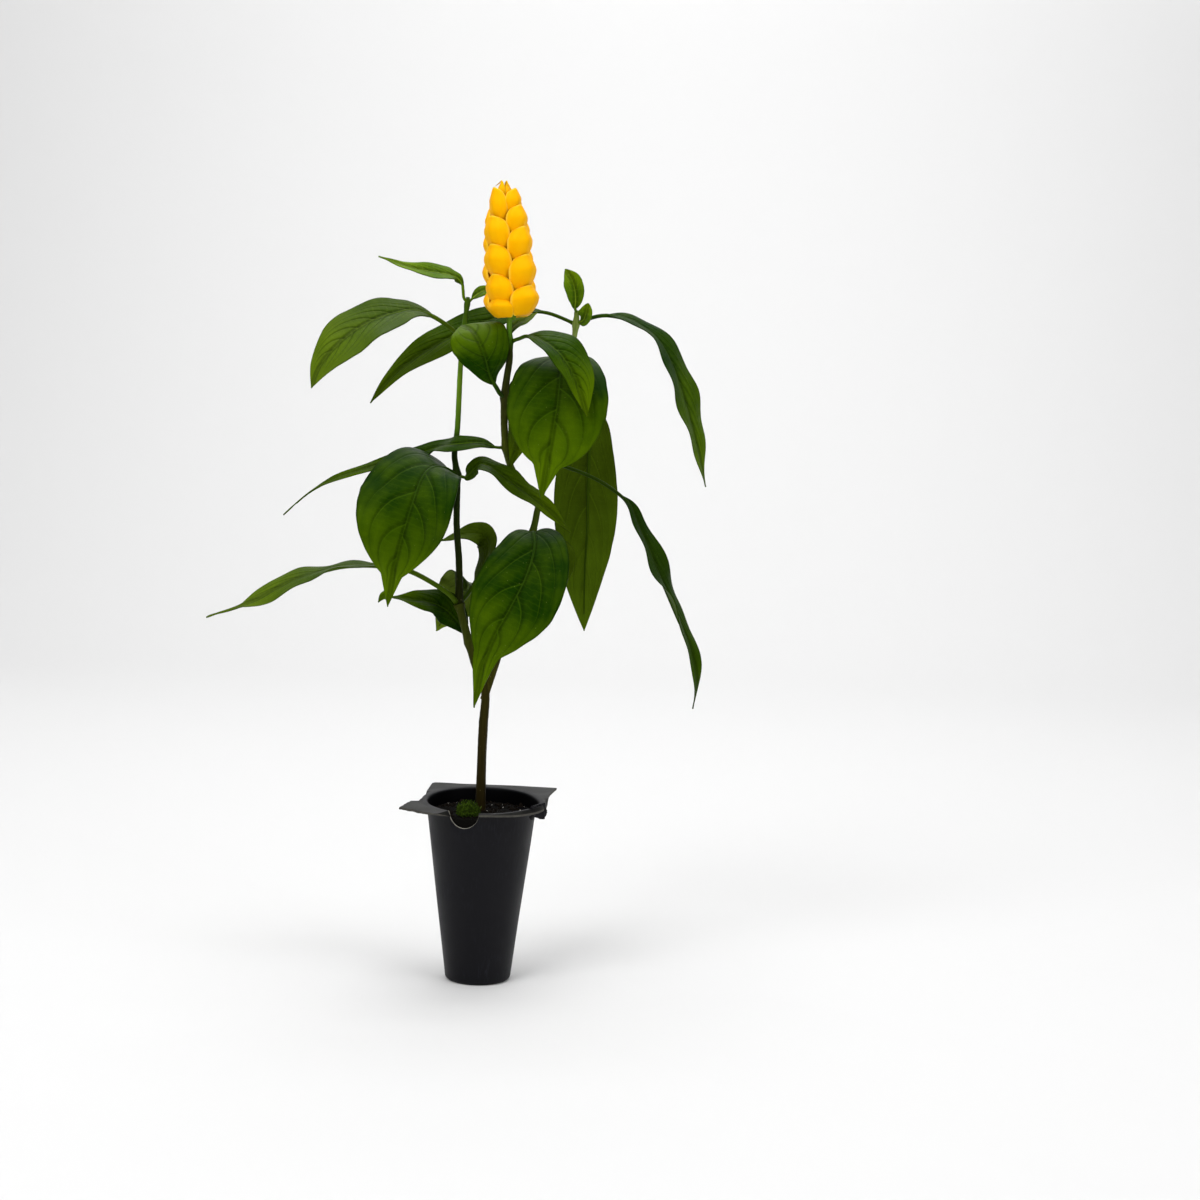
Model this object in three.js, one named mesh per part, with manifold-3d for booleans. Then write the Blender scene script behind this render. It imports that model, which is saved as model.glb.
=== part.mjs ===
// A golden shrimp plant in a small square-flanged plug pot.
// Millimetres, +Z up. The origin is the centre of the pot's foot, on the surface that it stands on.

import * as THREE from 'three';
import { mergeVertices } from 'three/addons/utils/BufferGeometryUtils.js';
import Module from 'manifold-3d';

const wasm = await Module();
wasm.setup();

// Gap between pieces that touch on the real plant
const FIT_GAP = 0.3;

// Driving dimensions of the pot
const POT = {
  height: 97.5,
  footRadius: 17.4,
  footCorner: 2.6,
  mouthRadius: 29.2,
  wall: 1.1,
  floor: 1.4,
  flangeThick: 1.2,
  flangeTurn: THREE.MathUtils.degToRad(-5),
  lipRadius: 32.2,
  lipThick: 2.2,
  lipFillet: 1.6,
  notchRadius: 8.4,
  notchHeight: 97.8,
  notchTurn: THREE.MathUtils.degToRad(-14.5),
  flapAt: [31.4, -6, 95.8],
  flapTurn: THREE.MathUtils.degToRad(-33),
  sag: 0.055,
  sagFrom: 33,
  drainRadius: 2.5,
  drainCircle: 9.5,
  drainCount: 4,
  sides: 32,
};

// The torn edge of the square tray flange: two whole corners behind, the left front one bent out to a sharp
// tab, then along the front to the notch. The right front corner is gone, and the edge goes on past its tear.
const FLANGE_EDGE = [
  [33.2, 6], [33.6, 10], [34, 20], [35.8, 35], [10, 35.2], [-27.9, 35.5], [-30.6, 35.1], [-31.8, 33.4],
  [-31.8, 18], [-31.5, 5], [-32.3, -8.4], [-36, -9.3], [-37.9, -16.3], [-39.3, -25.1], [-36.6, -26.4],
  [-34.3, -28.4], [-31, -29.6], [-29.1, -31.8], [-21.8, -34.3], [-13.9, -34.6], [-6, -33.2],
];

// Driving dimensions of the soil
const SOIL = { top: 90.2, mound: 1.6, sides: 24 };

// The plant as a whole stands a little off the pot's axis and leans to the left
const PLANT_SHIFT = 2.1;
const PLANT_LEAN = THREE.MathUtils.degToRad(-1.6);

// The shoots as centre lines: each point is [x, y, z, stem radius]
const TRUNK = [[0, 0, 62, 3.0], [0, 0, 91, 2.8], [0.8, 0, 119, 2.5], [1.7, 0, 136, 2.6], [2.6, 0, 154, 2.3]];
const LEFT_SHOOT = [
  [2.4, 0, 150, 2.2], [-1, 0, 163, 2.1], [-4.6, 0, 175, 2.2], [-7, 0, 184, 2.2], [-10.8, 0, 199.5, 2.3],
  [-10.6, 0, 222, 1.8], [-11.7, 0, 240, 1.7], [-11.4, 0, 266.7, 1.8], [-12.6, 0, 277, 1.6],
  [-11, 0, 291, 1.5], [-9.2, 0, 323, 1.4], [-7.9, 0, 338, 1.5], [-5.7, 0, 354, 1.2], [-5.1, 0, 358.5, 0.8],
];
const RIGHT_SHOOT = [
  [2.4, 0, 150, 2.2], [8.9, 1.5, 169.6, 1.9], [15.2, 4, 190.5, 1.9], [22, 6, 215.6, 1.8],
  [27.3, 7, 234.5, 1.9], [32, 8, 255.5, 1.7], [38.3, 9, 273, 1.8], [45.1, 11, 312.2, 1.7],
  [49.3, 12, 336.6, 1.4], [50.4, 12, 345, 1.5], [50.9, 12, 352, 0.9],
];
const BLOOM_SHOOT = [
  [32.4, 8, 257, 1.5], [27, 6.6, 259.5, 1.6], [21.5, 3.6, 263, 1.6], [17, -1, 270.5, 1.8],
  [14.4, -7.5, 281.5, 1.9], [14.2, -16, 307.2, 1.8], [17.1, -20, 328, 1.6], [17.4, -20, 335.6, 1.6],
  [18.2, -20, 343, 1.3], [18.6, -20, 345.6, 1.2],
];

// The nodes where leaves grow, each a small swelling on its shoot
const NODES = {
  trunk: { at: [-5.6, 0, 179.3], radius: 2.6 },
  left1: { at: [-10.8, 0, 199.5], radius: 3.0 },
  left2: { at: [-11.4, 0, 266.7], radius: 2.5 },
  left3: { at: [-7.9, 0, 338], radius: 2.1 },
  leftTip: { at: [-5.5, 0, 355], radius: 1.6 },
  right1: { at: [27.3, 7, 234.5], radius: 2.6 },
  right2: { at: [38.3, 9, 273], radius: 2.5 },
  right3: { at: [45.1, 11, 312.2], radius: 2.4 },
  right4: { at: [50.4, 12, 345], radius: 2.1 },
  rightTip: { at: [50.8, 12, 350.5], radius: 1.4 },
  bloom1: { at: [14.9, -7.5, 281.5], radius: 2.4 },
  bloom2: { at: [14.8, -16, 307.2], radius: 2.3 },
  bloom3: { at: [17.6, -20, 335.6], radius: 2.1 },
};

// Blade sizes that every leaf shares, and the values of a leaf that states none
const BLADE = {
  thick: 0.7, rib: 0.5, stalkFlat: 0.92, open: 0.12, spreadBy: 0.05, lobeUntil: 0.4, tipWidth: 0.35,
  widest: 0.42, sharp: 1.2, base: 0.75, curl: 0.1, wave: [0.9, 3], fold: 14,
};

// The leaves. path: the midrib from its node, as offsets. up: where the upper face looks, from stalk to tip.
// stalk: bare length. half: half width. widest: where, along the blade. base, sharp: how the blade rounds off
// and narrows. sides: each half's share of that width. lobe: how far a heart-shaped base reaches back past the
// stalk. drip: where a narrow drip tip starts, and its half width. fold: degrees that each half is raised.
// curl: how far the margins turn down again. wave: height and number of the margin's waves.
// stations, columns: how finely the blade is divided. young: still small and pale.
const LEAVES = {
  leaf_left_top_a: {
    node: 'leftTip', path: [[-1.9, -1.7, 3], [-2.2, -2, 6.6], [-2.8, -2, 10.4], [-4.9, -2, 13],
      [-9, -3, 14.7], [-14, -3.5, 15.6], [-28, -4, 18.2], [-45, -6, 24.2]],
    up: [[-0.6, -0.5, 0.6], [-0.2, -0.6, 0.8], [-0.1, -0.6, 0.8]],
    stalk: 8, half: 6, widest: 0.3, sharp: 1.3, fold: 20, wave: [0.6, 2], stations: 11, columns: 4, young: true,
  },
  leaf_left_top_b: {
    node: 'leftTip', path: [[2.5, 2, 3], [6.5, 4, 6], [14.5, 8, 9.5]],
    up: [[0, -0.8, 0.5], [0, -0.8, 0.6]],
    stalk: 3, half: 3.2, widest: 0.45, fold: 15, curl: 0, wave: [0, 1], stations: 7, columns: 2, young: true,
  },
  leaf_left_upper: {
    node: 'left3', path: [[-10.8, -6, 8.3], [-18.8, -9, 12.4], [-26.2, -12, 13.6], [-32.7, -14, 12.2],
      [-41.2, -16, 9.6], [-52.2, -18, 3.9], [-63.2, -19, -5], [-70.4, -18, -14], [-74.6, -16, -25.1]],
    up: [[-0.1, -0.4, 0.9], [-0.1, -0.75, 0.65], [-0.3, -0.85, 0.4]],
    stalk: 18, half: 15.8, widest: 0.54, sharp: 1.05, sides: [0.98, 0.86], fold: 16, curl: 0.12,
    wave: [0.7, 3], stations: 11, columns: 4,
  },
  leaf_left_middle_a: {
    node: 'left2', path: [[-3.3, -4, 2.6], [-6.6, -8, 4.4], [-10.6, -13, 4.8], [-14, -17, 3],
      [-17, -21, -1.6], [-20.8, -26, -12.6], [-26.2, -27, -29.9], [-30.6, -25, -45.9], [-34.6, -21, -66.8]],
    up: [[0, -0.5, 0.85], [-0.3, -0.9, 0.4], [0, -1, 0.1], [0, -1, 0.1]],
    stalk: 7, half: 25.5, widest: 0.37, sharp: 0.78, base: 0.45, sides: [0.9, 1.17], lobe: 9,
    drip: [0.78, 6.5], fold: 9, curl: 0.12, wave: [0.8, 3], stations: 13, columns: 6,
  },
  leaf_left_middle_b: {
    node: 'left2', path: [[5, -4, -0.8], [9.3, -7, 3.4], [13.1, -10, 6.1], [17.3, -12, 5], [23, -13, 1.4],
      [29.7, -14, -3.4], [40.9, -12, -11.7], [49.6, -11, -18.9], [59.4, -10, -29.5]],
    up: [[-0.1, -0.9, 0.4], [0.2, -0.6, 0.8], [0.2, -0.7, 0.6], [0.1, -0.9, 0.4]],
    stalk: 4, half: 6.8, widest: 0.42, sharp: 1, base: 0.45, fold: 16, wave: [1.3, 3], stations: 13,
    columns: 4,
  },
  leaf_left_low_a: {
    node: 'left1', path: [[-4.8, -4, 5.7], [-13.4, -7, 12], [-25.8, -7, 18.2], [-43.1, -5, 20.8],
      [-60.5, -3, 20], [-74.8, -2, 16.3], [-82.6, -2, 13.9], [-93.2, -1, 9.1], [-105.5, 0, 2.3],
      [-118.1, 0, -2.3], [-132.3, 0, -7]],
    up: [[0, -0.3, 1], [0, -0.15, 1], [0, -0.2, 1], [-0.1, -0.7, 0.7], [0, -0.8, 0.6]],
    stalk: 36, half: 7.6, widest: 0.55, sharp: 0.7, base: 0.7, drip: [0.74, 2], fold: 12, wave: [0.9, 4],
    stations: 13, columns: 4,
  },
  leaf_left_low_b: {
    node: 'left1', path: [[4.8, 2.6, 5.8], [9.2, 6.4, 12.9], [12.7, 10, 19.5], [15.3, 12, 26.2],
      [15.2, 13, 31.4], [12.1, 13, 34.8], [6.3, 12.5, 35.8], [0.1, 12, 34.9], [-5.7, 11, 33.3],
      [-11.4, 10, 31.7]],
    up: [[-1, -0.2, 0.5], [-0.8, -0.6, 0.3], [-0.2, -0.8, 0.8]],
    stalk: 13, half: 7.6, widest: 0.42, sharp: 1.35, fold: 15, stations: 12, columns: 4,
  },
  leaf_left_low_c: {
    node: 'left1', path: [[3.4, 6, 4.6], [4.4, 12, 9.6], [2.6, 17, 10.4], [0.6, 20, 6], [-2.4, 21, 0.4],
      [-7.4, 21, -6.8], [-13.6, 21, -16.6]],
    up: [[0, 0.3, 1], [0, 1, 0.3], [0, 1, 0]],
    stalk: 9, half: 12.8, widest: 0.42, sharp: 1.1, base: 0.6, fold: 8, wave: [1.4, 4], stations: 10,
    columns: 4,
  },
  leaf_trunk: {
    node: 'trunk', path: [[-4.8, 4, 8.3], [-11.1, 5, 15.6], [-17.3, 3, 19.6], [-23.4, 0, 21.6],
      [-30.4, -3, 23], [-38.1, -5, 24.3], [-43.7, -6, 24.9], [-46.9, -6, 21.7]],
    up: [[0.4, -0.8, 0.4], [-0.2, -0.8, 0.6], [-0.3, -0.7, 0.6]],
    stalk: 4, half: 8, widest: 0.3, sharp: 1.55, sides: [1, 1.2], drip: [0.86, 4], fold: 12, stations: 11,
    columns: 4,
  },
  leaf_right_top_a: {
    node: 'right4', path: [[-6.8, 1, 3.1], [-14.6, 2, 5.9], [-24, 2, 7], [-35.5, 2, 5.2], [-51.2, 1, -0.5],
      [-66.2, -1, -7.3], [-82, -3, -16.4], [-95.5, -5, -27], [-107.2, -6, -41]],
    up: [[0, -0.2, 1], [-0.1, -0.8, 0.6], [-0.3, -0.85, 0.5]],
    stalk: 16, half: 10, widest: 0.42, sharp: 1, fold: 15, wave: [0.8, 3], stations: 13, columns: 4,
  },
  leaf_right_top_b: {
    node: 'right4', path: [[6.3, 0, 2.8], [13.6, 0, 4.5], [24, 0, 3.7], [34.2, 0, -0.9], [42.4, 0, -7.4],
      [49.4, 1, -18.8], [56.2, 2, -37.4], [61.4, 2, -55.6], [68.3, 2, -85.2]],
    up: [[0, -0.3, 1], [0.5, -0.4, 0.8], [0.9, -0.55, 0.3], [0.9, -0.5, 0.1]],
    stalk: 15, half: 12.4, widest: 0.54, sharp: 1.2, fold: 16, wave: [1.1, 4], stations: 13, columns: 4,
  },
  leaf_right_tip_a: {
    node: 'rightTip', path: [[-0.8, -4, 2.6], [-0.5, -5, 6.2], [-0.9, -5, 11.8], [-2.6, -4, 17.5],
      [-6, -2, 22.8]],
    up: [[0, -1, 0], [0, -1, 0]],
    stalk: 3, half: 5.2, widest: 0.55, sharp: 0.9, fold: 18, curl: 0, wave: [0, 1], stations: 8, columns: 4,
    young: true,
  },
  leaf_right_tip_b: {
    node: 'right4', path: [[4, -4, 2], [6, -5, 6], [7, -5, 10]],
    up: [[-0.6, -0.8, 0.3], [-0.4, -0.9, 0]],
    stalk: 1.5, half: 3.4, widest: 0.45, fold: 12, curl: 0, wave: [0, 1], stations: 6, columns: 2, young: true,
  },
  leaf_right_upper_a: {
    node: 'right3', path: [[-1.4, -6, 7.8], [-1.7, -14, 13.4], [-1.5, -25, 15.1], [-1.8, -36, 9.7],
      [-3.2, -44, -6.3], [-6.2, -47, -24.9], [-9.3, -47, -41.4], [-11.8, -46, -56.1]],
    up: [[0, 0, 1], [0, -0.8, 0.5], [0, -1, 0.1]],
    stalk: 18, half: 25.8, widest: 0.48, sharp: 0.48, base: 0.7, drip: [0.74, 10], fold: 9, curl: 0.14,
    wave: [0.9, 3], stations: 13, columns: 6,
  },
  leaf_right_upper_b: {
    node: 'right3', path: [[3.6, 6, -0.5], [9.9, 13, -6.9], [13, 18, -20.1], [11.9, 20, -36.1],
      [11.4, 21, -54.8], [11, 21, -76.2], [9.6, 20, -100.3], [9.2, 17, -130.1]],
    up: [[0, 0.3, 1], [0.1, 1, 0.2], [0, 1, 0]],
    stalk: 12, half: 17.2, widest: 0.47, sharp: 0.95, sides: [1.08, 0.93], fold: 9, wave: [1, 4],
    stations: 13, columns: 6,
  },
  leaf_right_middle: {
    node: 'right2', path: [[14.7, -1, -5], [25.7, -1, -10.3], [36.7, -2, -18.1], [41, -3, -22.9],
      [44.4, -4, -31.6], [49.6, -5, -43], [54, -6, -54], [59.3, -7, -66.5], [65, -8, -80], [72, -8, -96.9],
      [74.8, -8, -109.5], [75.2, -7, -119.2], [73.6, -6, -129.4]],
    up: [[0, -0.6, 0.8], [0.5, -0.5, 0.7], [0.85, -0.6, 0.2], [0.9, -0.55, 0.1], [1, -0.1, 0.1],
      [0.75, -0.65, 0.1], [0.8, -0.6, 0.1]],
    stalk: 38, half: 9, fold: 20, wave: [1.2, 4], stations: 14, columns: 4,
  },
  leaf_right_low_a: {
    node: 'right1', path: [[1, -7, 2.6], [1.8, -13, -0.6], [1.2, -20, -8.4], [-3, -27, -20.8],
      [-9.7, -31, -33.8], [-17.6, -33, -48], [-24, -32, -63.6], [-29.2, -29, -86.8]],
    up: [[0, -0.3, 1], [0, -0.9, 0.4], [-0.1, -1, 0.1]],
    stalk: 8, half: 24, widest: 0.36, sharp: 0.85, base: 0.48, sides: [0.93, 1.04], lobe: 11,
    drip: [0.66, 8.6], fold: 10, curl: 0.12, wave: [0.9, 4], stations: 13, columns: 6,
  },
  leaf_right_low_b: {
    node: 'right1', path: [[6, 7, -1.5], [11, 11, -5], [15, 14, -10], [17, 15, -17.5], [16, 14, -29]],
    up: [[0, 0.3, 1], [0.3, 1, 0.3], [0.1, 1, 0]],
    stalk: 7, half: 7, fold: 12, wave: [0.6, 2], stations: 9, columns: 4,
  },
  leaf_bloom_low: {
    node: 'bloom1', path: [[-5.5, -1.5, 0], [-12.6, -2.5, 2.2], [-22.9, -2, 1.8], [-29, 1, 1.1],
      [-38.5, 12.8, -1.1], [-49.1, 15.5, -4.6], [-60.8, 16, -8], [-71.5, 15, -10.8], [-82.2, 14, -13.9],
      [-92.8, 13, -17.9], [-104.3, 12, -24.2], [-117.4, 10.5, -35.6]],
    up: [[0, -0.7, 0.7], [0, -0.7, 0.7], [-0.2, -0.4, 0.9]],
    stalk: 4, half: 5.8, widest: 0.2, sharp: 1.5, fold: 14, wave: [0.6, 4], stations: 13, columns: 4,
  },
  leaf_bloom_middle_a: {
    node: 'bloom2', path: [[-2.4, -3.5, 1.6], [-4.4, -6, 5], [-7.4, -8, 10.5], [-9.6, -10, 18.8],
      [-12.2, -10, 26.3], [-16.7, -5, 33.5], [-22.3, 3, 36.7]],
    up: [[0.3, -0.9, 0.4], [0, -1, 0.4], [0, -0.5, 0.9]],
    stalk: 9, half: 15, widest: 0.6, sharp: 0.9, base: 1, sides: [0.98, 1.04], fold: 10, curl: 0.12,
    wave: [0.7, 3], stations: 11, columns: 4,
  },
  leaf_bloom_middle_b: {
    node: 'bloom2', path: [[1.9, 1, 4.6], [4.2, 3, 8.2], [7.7, 5, 6.1], [9.1, 6, -1.5], [7.6, 6, -14.3],
      [5, 7, -26.1], [1.6, 7.5, -37.4]],
    up: [[0.3, 0.2, 1], [0.6, -0.7, 0.2], [0.2, -1, 0]],
    stalk: 8, half: 8.5, widest: 0.4, fold: 10, wave: [0.7, 3], stations: 11, columns: 4,
  },
  leaf_bloom_top_a: {
    node: 'bloom3', path: [[4.4, -3, 1.4], [9.1, -7, 2.8], [15.6, -12, 0.6], [24.8, -17, -6],
      [32.4, -20, -17.2], [36.3, -21, -28.2], [39, -21, -38.1]],
    up: [[0.1, -0.3, 1], [0.3, -0.8, 0.6], [0.1, -1, 0.2]],
    stalk: 8, half: 11.3, sharp: 1, sides: [1.15, 0.64], fold: 15, wave: [0.7, 3], stations: 11, columns: 4,
  },
  leaf_bloom_top_b: {
    node: 'bloom3', path: [[-1, 5, 3], [2, 10, 8], [7, 13, 11], [13, 17, 15]],
    up: [[-0.3, -0.6, 0.8], [-0.3, -0.7, 0.7]],
    stalk: 6, half: 4, widest: 0.45, fold: 15, curl: 0, wave: [0, 1], stations: 8, columns: 2, young: true,
  },
};

// The golden spike: a slim core with pairs of cupped bracts, each pair a quarter turn on from the last.
// pairs: height of the pair's tips above the spike's foot, length, and size against the largest.
// spread: degrees that each half of a bract wraps round the spike. claw: share of its length that is its narrow
// foot. cupFoot, cupFull, cupClose: how far out it stands after the claw, where along it that is most, and how
// far its tip turns in again.
const SPIKE = {
  foot: [18.6, -20, 346],
  lean: [-0.057, 0, 1],
  coreRadius: 2.9,
  coreHeight: 63,
  coreSides: 8,
  firstTurn: -40,
  bractThick: 0.8,
  bractReach: 15.2,
  bractRows: 5,
  bractColumns: 4,
  spread: 53,
  claw: 0.12,
  cupFoot: 0.36,
  cupFull: 0.68,
  cupClose: 0.15,
  pairs: [
    [11.5, 11, 0.93], [17, 15.5, 1.05], [23.6, 19, 0.96], [32.6, 20.5, 1], [38.6, 20.5, 0.94], [46.6, 20, 0.92],
    [52.6, 19, 0.86], [57.4, 17, 0.8], [62, 15, 0.68], [66, 14, 0.58], [67.4, 11, 0.42], [70.2, 9, 0.25],
  ],
};

// Colours seen in daylight
const COLOURS = {
  pot: 0x1e1f26, soil: 0x17130f, stem: 0x46531a, oldLeaf: 0x2f5200, youngLeaf: 0x6f8f10, bract: 0xffbe00,
};

function vec(p) {
  return new THREE.Vector3(p[0], p[1], p[2]);
}

function smooth(t) {
  const u = Math.min(1, Math.max(0, t));
  return u * u * (3 - 2 * u);
}

function mix(a, b, t) {
  return a + (b - a) * t;
}

function material(colour, roughness) {
  return new THREE.MeshStandardMaterial({ color: colour, roughness, metalness: 0 });
}

// Solids for joining and cutting

function toSolid(geometry) {
  const bare = new THREE.BufferGeometry();
  const loose = geometry.index ? geometry.toNonIndexed() : geometry;
  bare.setAttribute('position', loose.getAttribute('position'));
  const merged = mergeVertices(bare, 1e-4);
  return new wasm.Manifold(new wasm.Mesh({
    numProp: 3,
    vertProperties: merged.attributes.position.array,
    triVerts: new Uint32Array(merged.index.array),
  }));
}

function toGeometry(solid) {
  const mesh = solid.getMesh();
  const geometry = new THREE.BufferGeometry();
  geometry.setAttribute('position', new THREE.BufferAttribute(new Float32Array(mesh.vertProperties), 3));
  geometry.setIndex(new THREE.BufferAttribute(new Uint32Array(mesh.triVerts), 1));
  geometry.computeVertexNormals();
  return geometry;
}

// The outermost skin of a solid, without the pockets that are sealed inside it
function withoutPockets(solid) {
  return solid.decompose().reduce((best, piece) => (piece.volume() > best.volume() ? piece : best));
}

function fromGrid(points, faces) {
  const geometry = new THREE.BufferGeometry();
  geometry.setAttribute('position', new THREE.Float32BufferAttribute(points.flat(), 3));
  geometry.setIndex(faces.flat());
  geometry.computeVertexNormals();
  return geometry;
}

// Stems: rings of a changing radius along a curve, closed at both ends

function ringTube(line, steps, sides) {
  const curve = new THREE.CatmullRomCurve3(line.map(vec));
  const total = curve.getLength();
  const lengths = curve.getLengths(400);
  const reached = line.map((p, i) => lengths[Math.round(400 * i / (line.length - 1))]);
  const radiusAt = (length) => {
    let i = 0;
    while (i < line.length - 2 && reached[i + 1] < length) i += 1;
    return mix(line[i][3], line[i + 1][3], smooth((length - reached[i]) / (reached[i + 1] - reached[i])));
  };
  const frames = curve.computeFrenetFrames(steps, false);
  const points = [];
  const faces = [];
  for (let i = 0; i <= steps; i += 1) {
    const centre = curve.getPointAt(i / steps);
    const radius = radiusAt(total * i / steps);
    for (let k = 0; k < sides; k += 1) {
      const turn = 2 * Math.PI * k / sides;
      const p = centre.clone()
        .addScaledVector(frames.normals[i], radius * Math.cos(turn))
        .addScaledVector(frames.binormals[i], radius * Math.sin(turn));
      points.push([p.x, p.y, p.z]);
    }
  }
  for (let i = 0; i < steps; i += 1) {
    for (let k = 0; k < sides; k += 1) {
      const a = i * sides + k;
      const b = i * sides + (k + 1) % sides;
      faces.push([a, b, b + sides], [a, b + sides, a + sides]);
    }
  }
  const last = steps * sides;
  for (let k = 1; k < sides - 1; k += 1) {
    faces.push([0, k + 1, k], [last, last + k, last + k + 1]);
  }
  return fromGrid(points, faces);
}

function swelling(node) {
  return new THREE.SphereGeometry(node.radius, 6, 4).rotateX(Math.PI / 2).scale(1, 1, 1.35)
    .translate(...node.at);
}

function stemsGeometry() {
  let whole = toSolid(ringTube(TRUNK, 6, 8));
  for (const [line, steps] of [[LEFT_SHOOT, 17], [RIGHT_SHOOT, 14], [BLOOM_SHOOT, 12]]) {
    whole = whole.add(toSolid(ringTube(line, steps, 6)));
  }
  for (const node of Object.values(NODES)) {
    whole = whole.add(toSolid(swelling(node)));
  }
  return toGeometry(whole);
}

// Leaves: a stalk ring that opens into a thin folded blade

// Half width of a blade, a share t of the way along it
function bladeWidth(leaf, t) {
  if (t <= 0 || t >= 1) return 0;
  const [start, drip] = leaf.drip ?? [1, 0];
  const widest = leaf.widest ?? BLADE.widest;
  if (t < widest) return leaf.half * Math.sin(0.5 * Math.PI * t / widest) ** (leaf.base ?? BLADE.base);
  const gone = Math.min(1, (t - widest) / (mix(start, 1, 0.35) - widest));
  const plain = leaf.half * Math.max(0, Math.cos(0.5 * Math.PI * gone)) ** (leaf.sharp ?? BLADE.sharp);
  return Math.max(plain, t > start ? drip * (1 - t) / (1 - start) : 0);
}

function direction(list, t) {
  const place = Math.min(1, Math.max(0, t)) * (list.length - 1);
  const i = Math.min(list.length - 2, Math.floor(place));
  return vec(list[i]).normalize().lerp(vec(list[i + 1]).normalize(), smooth(place - i)).normalize();
}

function leafCurve(leaf) {
  const node = NODES[leaf.node];
  const centre = vec(node.at);
  const out = vec(leaf.path[0]).normalize();
  const level = Math.max(0.35, Math.hypot(out.x, out.y));
  const start = (node.radius + FIT_GAP + Math.abs(out.z)) / level;
  const points = [centre.clone().addScaledVector(out, start)];
  for (const offset of leaf.path) {
    const p = vec(offset).add(centre);
    if (p.distanceTo(centre) > start + 1.5) points.push(p);
  }
  return new THREE.CatmullRomCurve3(points);
}

function leafGeometry(leaf) {
  const curve = leafCurve(leaf);
  const total = curve.getLength();
  const stalkPart = leaf.stalk / total;
  const stalkRings = Math.max(2, Math.round(leaf.stalk / 7));
  const places = [];
  for (let i = 0; i < stalkRings; i += 1) places.push(stalkPart * i / stalkRings);
  for (let i = 0; i <= leaf.stations; i += 1) {
    const even = i / leaf.stations;
    places.push(mix(stalkPart, 1, mix(even, 0.5 - 0.5 * Math.cos(Math.PI * even), 0.6)));
  }
  const foldAngle = THREE.MathUtils.degToRad(leaf.fold ?? BLADE.fold);
  const curl = leaf.curl ?? BLADE.curl;
  const [waveHeight, waveCount] = leaf.wave ?? BLADE.wave;
  const sides = leaf.sides ?? [1, 1];
  const stalkRadius = Math.min(1.1, 0.55 + leaf.half * 0.04);
  const columns = leaf.columns;
  const top = [];
  const bottom = [];
  const points = [];
  for (const place of places) {
    const t = (place - stalkPart) / (1 - stalkPart);
    const centre = curve.getPointAt(Math.min(1, place));
    const along = curve.getTangentAt(Math.min(1, place));
    const side = along.clone().cross(direction(leaf.up, place)).normalize();
    const normal = side.clone().cross(along);
    const open = smooth(t / BLADE.open);
    const spread = smooth(t / (leaf.lobe ? BLADE.spreadBy : BLADE.open));
    const round = Math.max(stalkRadius * (1 - 0.6 * Math.max(0, t)), 0.3);
    const half = Math.max(BLADE.tipWidth, bladeWidth(leaf, t), round * (1 - spread));
    const lobe = (leaf.lobe ?? 0) * spread * Math.sqrt(half / leaf.half)
      * Math.max(0, 1 - t / BLADE.lobeUntil) ** 2;
    const fade = Math.sin(Math.PI * Math.min(1, Math.max(0, t)));
    const topRow = [];
    const bottomRow = [];
    for (let k = 0; k <= columns; k += 1) {
      const v = 2 * k / columns - 1;
      const reach = half * sides[v > 0 ? 1 : 0];
      const wave = waveHeight * Math.sin(2 * Math.PI * waveCount * t + (v > 0 ? 1.9 : 0)) * v * v * fade;
      const lift = reach * (Math.tan(foldAngle) * Math.abs(v) - curl * v * v) * open + wave;
      const bulge = round * Math.sqrt(1 - (BLADE.stalkFlat * v) ** 2);
      const rib = v === 0 ? BLADE.rib * (1 - 0.8 * Math.max(0, t)) : 0;
      const out = v * mix(BLADE.stalkFlat * round, reach * mix(1, Math.cos(foldAngle), open), spread);
      const back = lobe * Math.abs(v) ** 1.4;
      const spot = (height) => centre.clone().addScaledVector(side, out)
        .addScaledVector(along, -back).addScaledVector(normal, height).toArray();
      topRow.push(points.push(spot(mix(bulge, lift + BLADE.thick / 2, open))) - 1);
      bottomRow.push(points.push(spot(mix(-bulge, lift - BLADE.thick / 2 - rib, open))) - 1);
    }
    top.push(topRow);
    bottom.push(bottomRow);
  }
  return fromGrid(points, sheetFaces(top, bottom));
}

// Faces of a closed sheet from its upper and lower grids, split alike on both
function sheetFaces(top, bottom) {
  const faces = [];
  const last = top.length - 1;
  const columns = top[0].length - 1;
  for (let i = 0; i < last; i += 1) {
    for (let k = 0; k < columns; k += 1) {
      faces.push([top[i][k], top[i][k + 1], top[i + 1][k + 1]], [top[i][k], top[i + 1][k + 1], top[i + 1][k]]);
      faces.push([bottom[i][k], bottom[i + 1][k + 1], bottom[i][k + 1]]);
      faces.push([bottom[i][k], bottom[i + 1][k], bottom[i + 1][k + 1]]);
    }
    faces.push([top[i][0], top[i + 1][0], bottom[i + 1][0]], [top[i][0], bottom[i + 1][0], bottom[i][0]]);
    faces.push([top[i][columns], bottom[i][columns], bottom[i + 1][columns]]);
    faces.push([top[i][columns], bottom[i + 1][columns], top[i + 1][columns]]);
  }
  for (let k = 0; k < columns; k += 1) {
    faces.push([top[0][k], bottom[0][k + 1], top[0][k + 1]], [top[0][k], bottom[0][k], bottom[0][k + 1]]);
    faces.push([top[last][k], top[last][k + 1], bottom[last][k + 1]]);
    faces.push([top[last][k], bottom[last][k + 1], bottom[last][k]]);
  }
  return faces;
}

// The bloom

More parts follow.
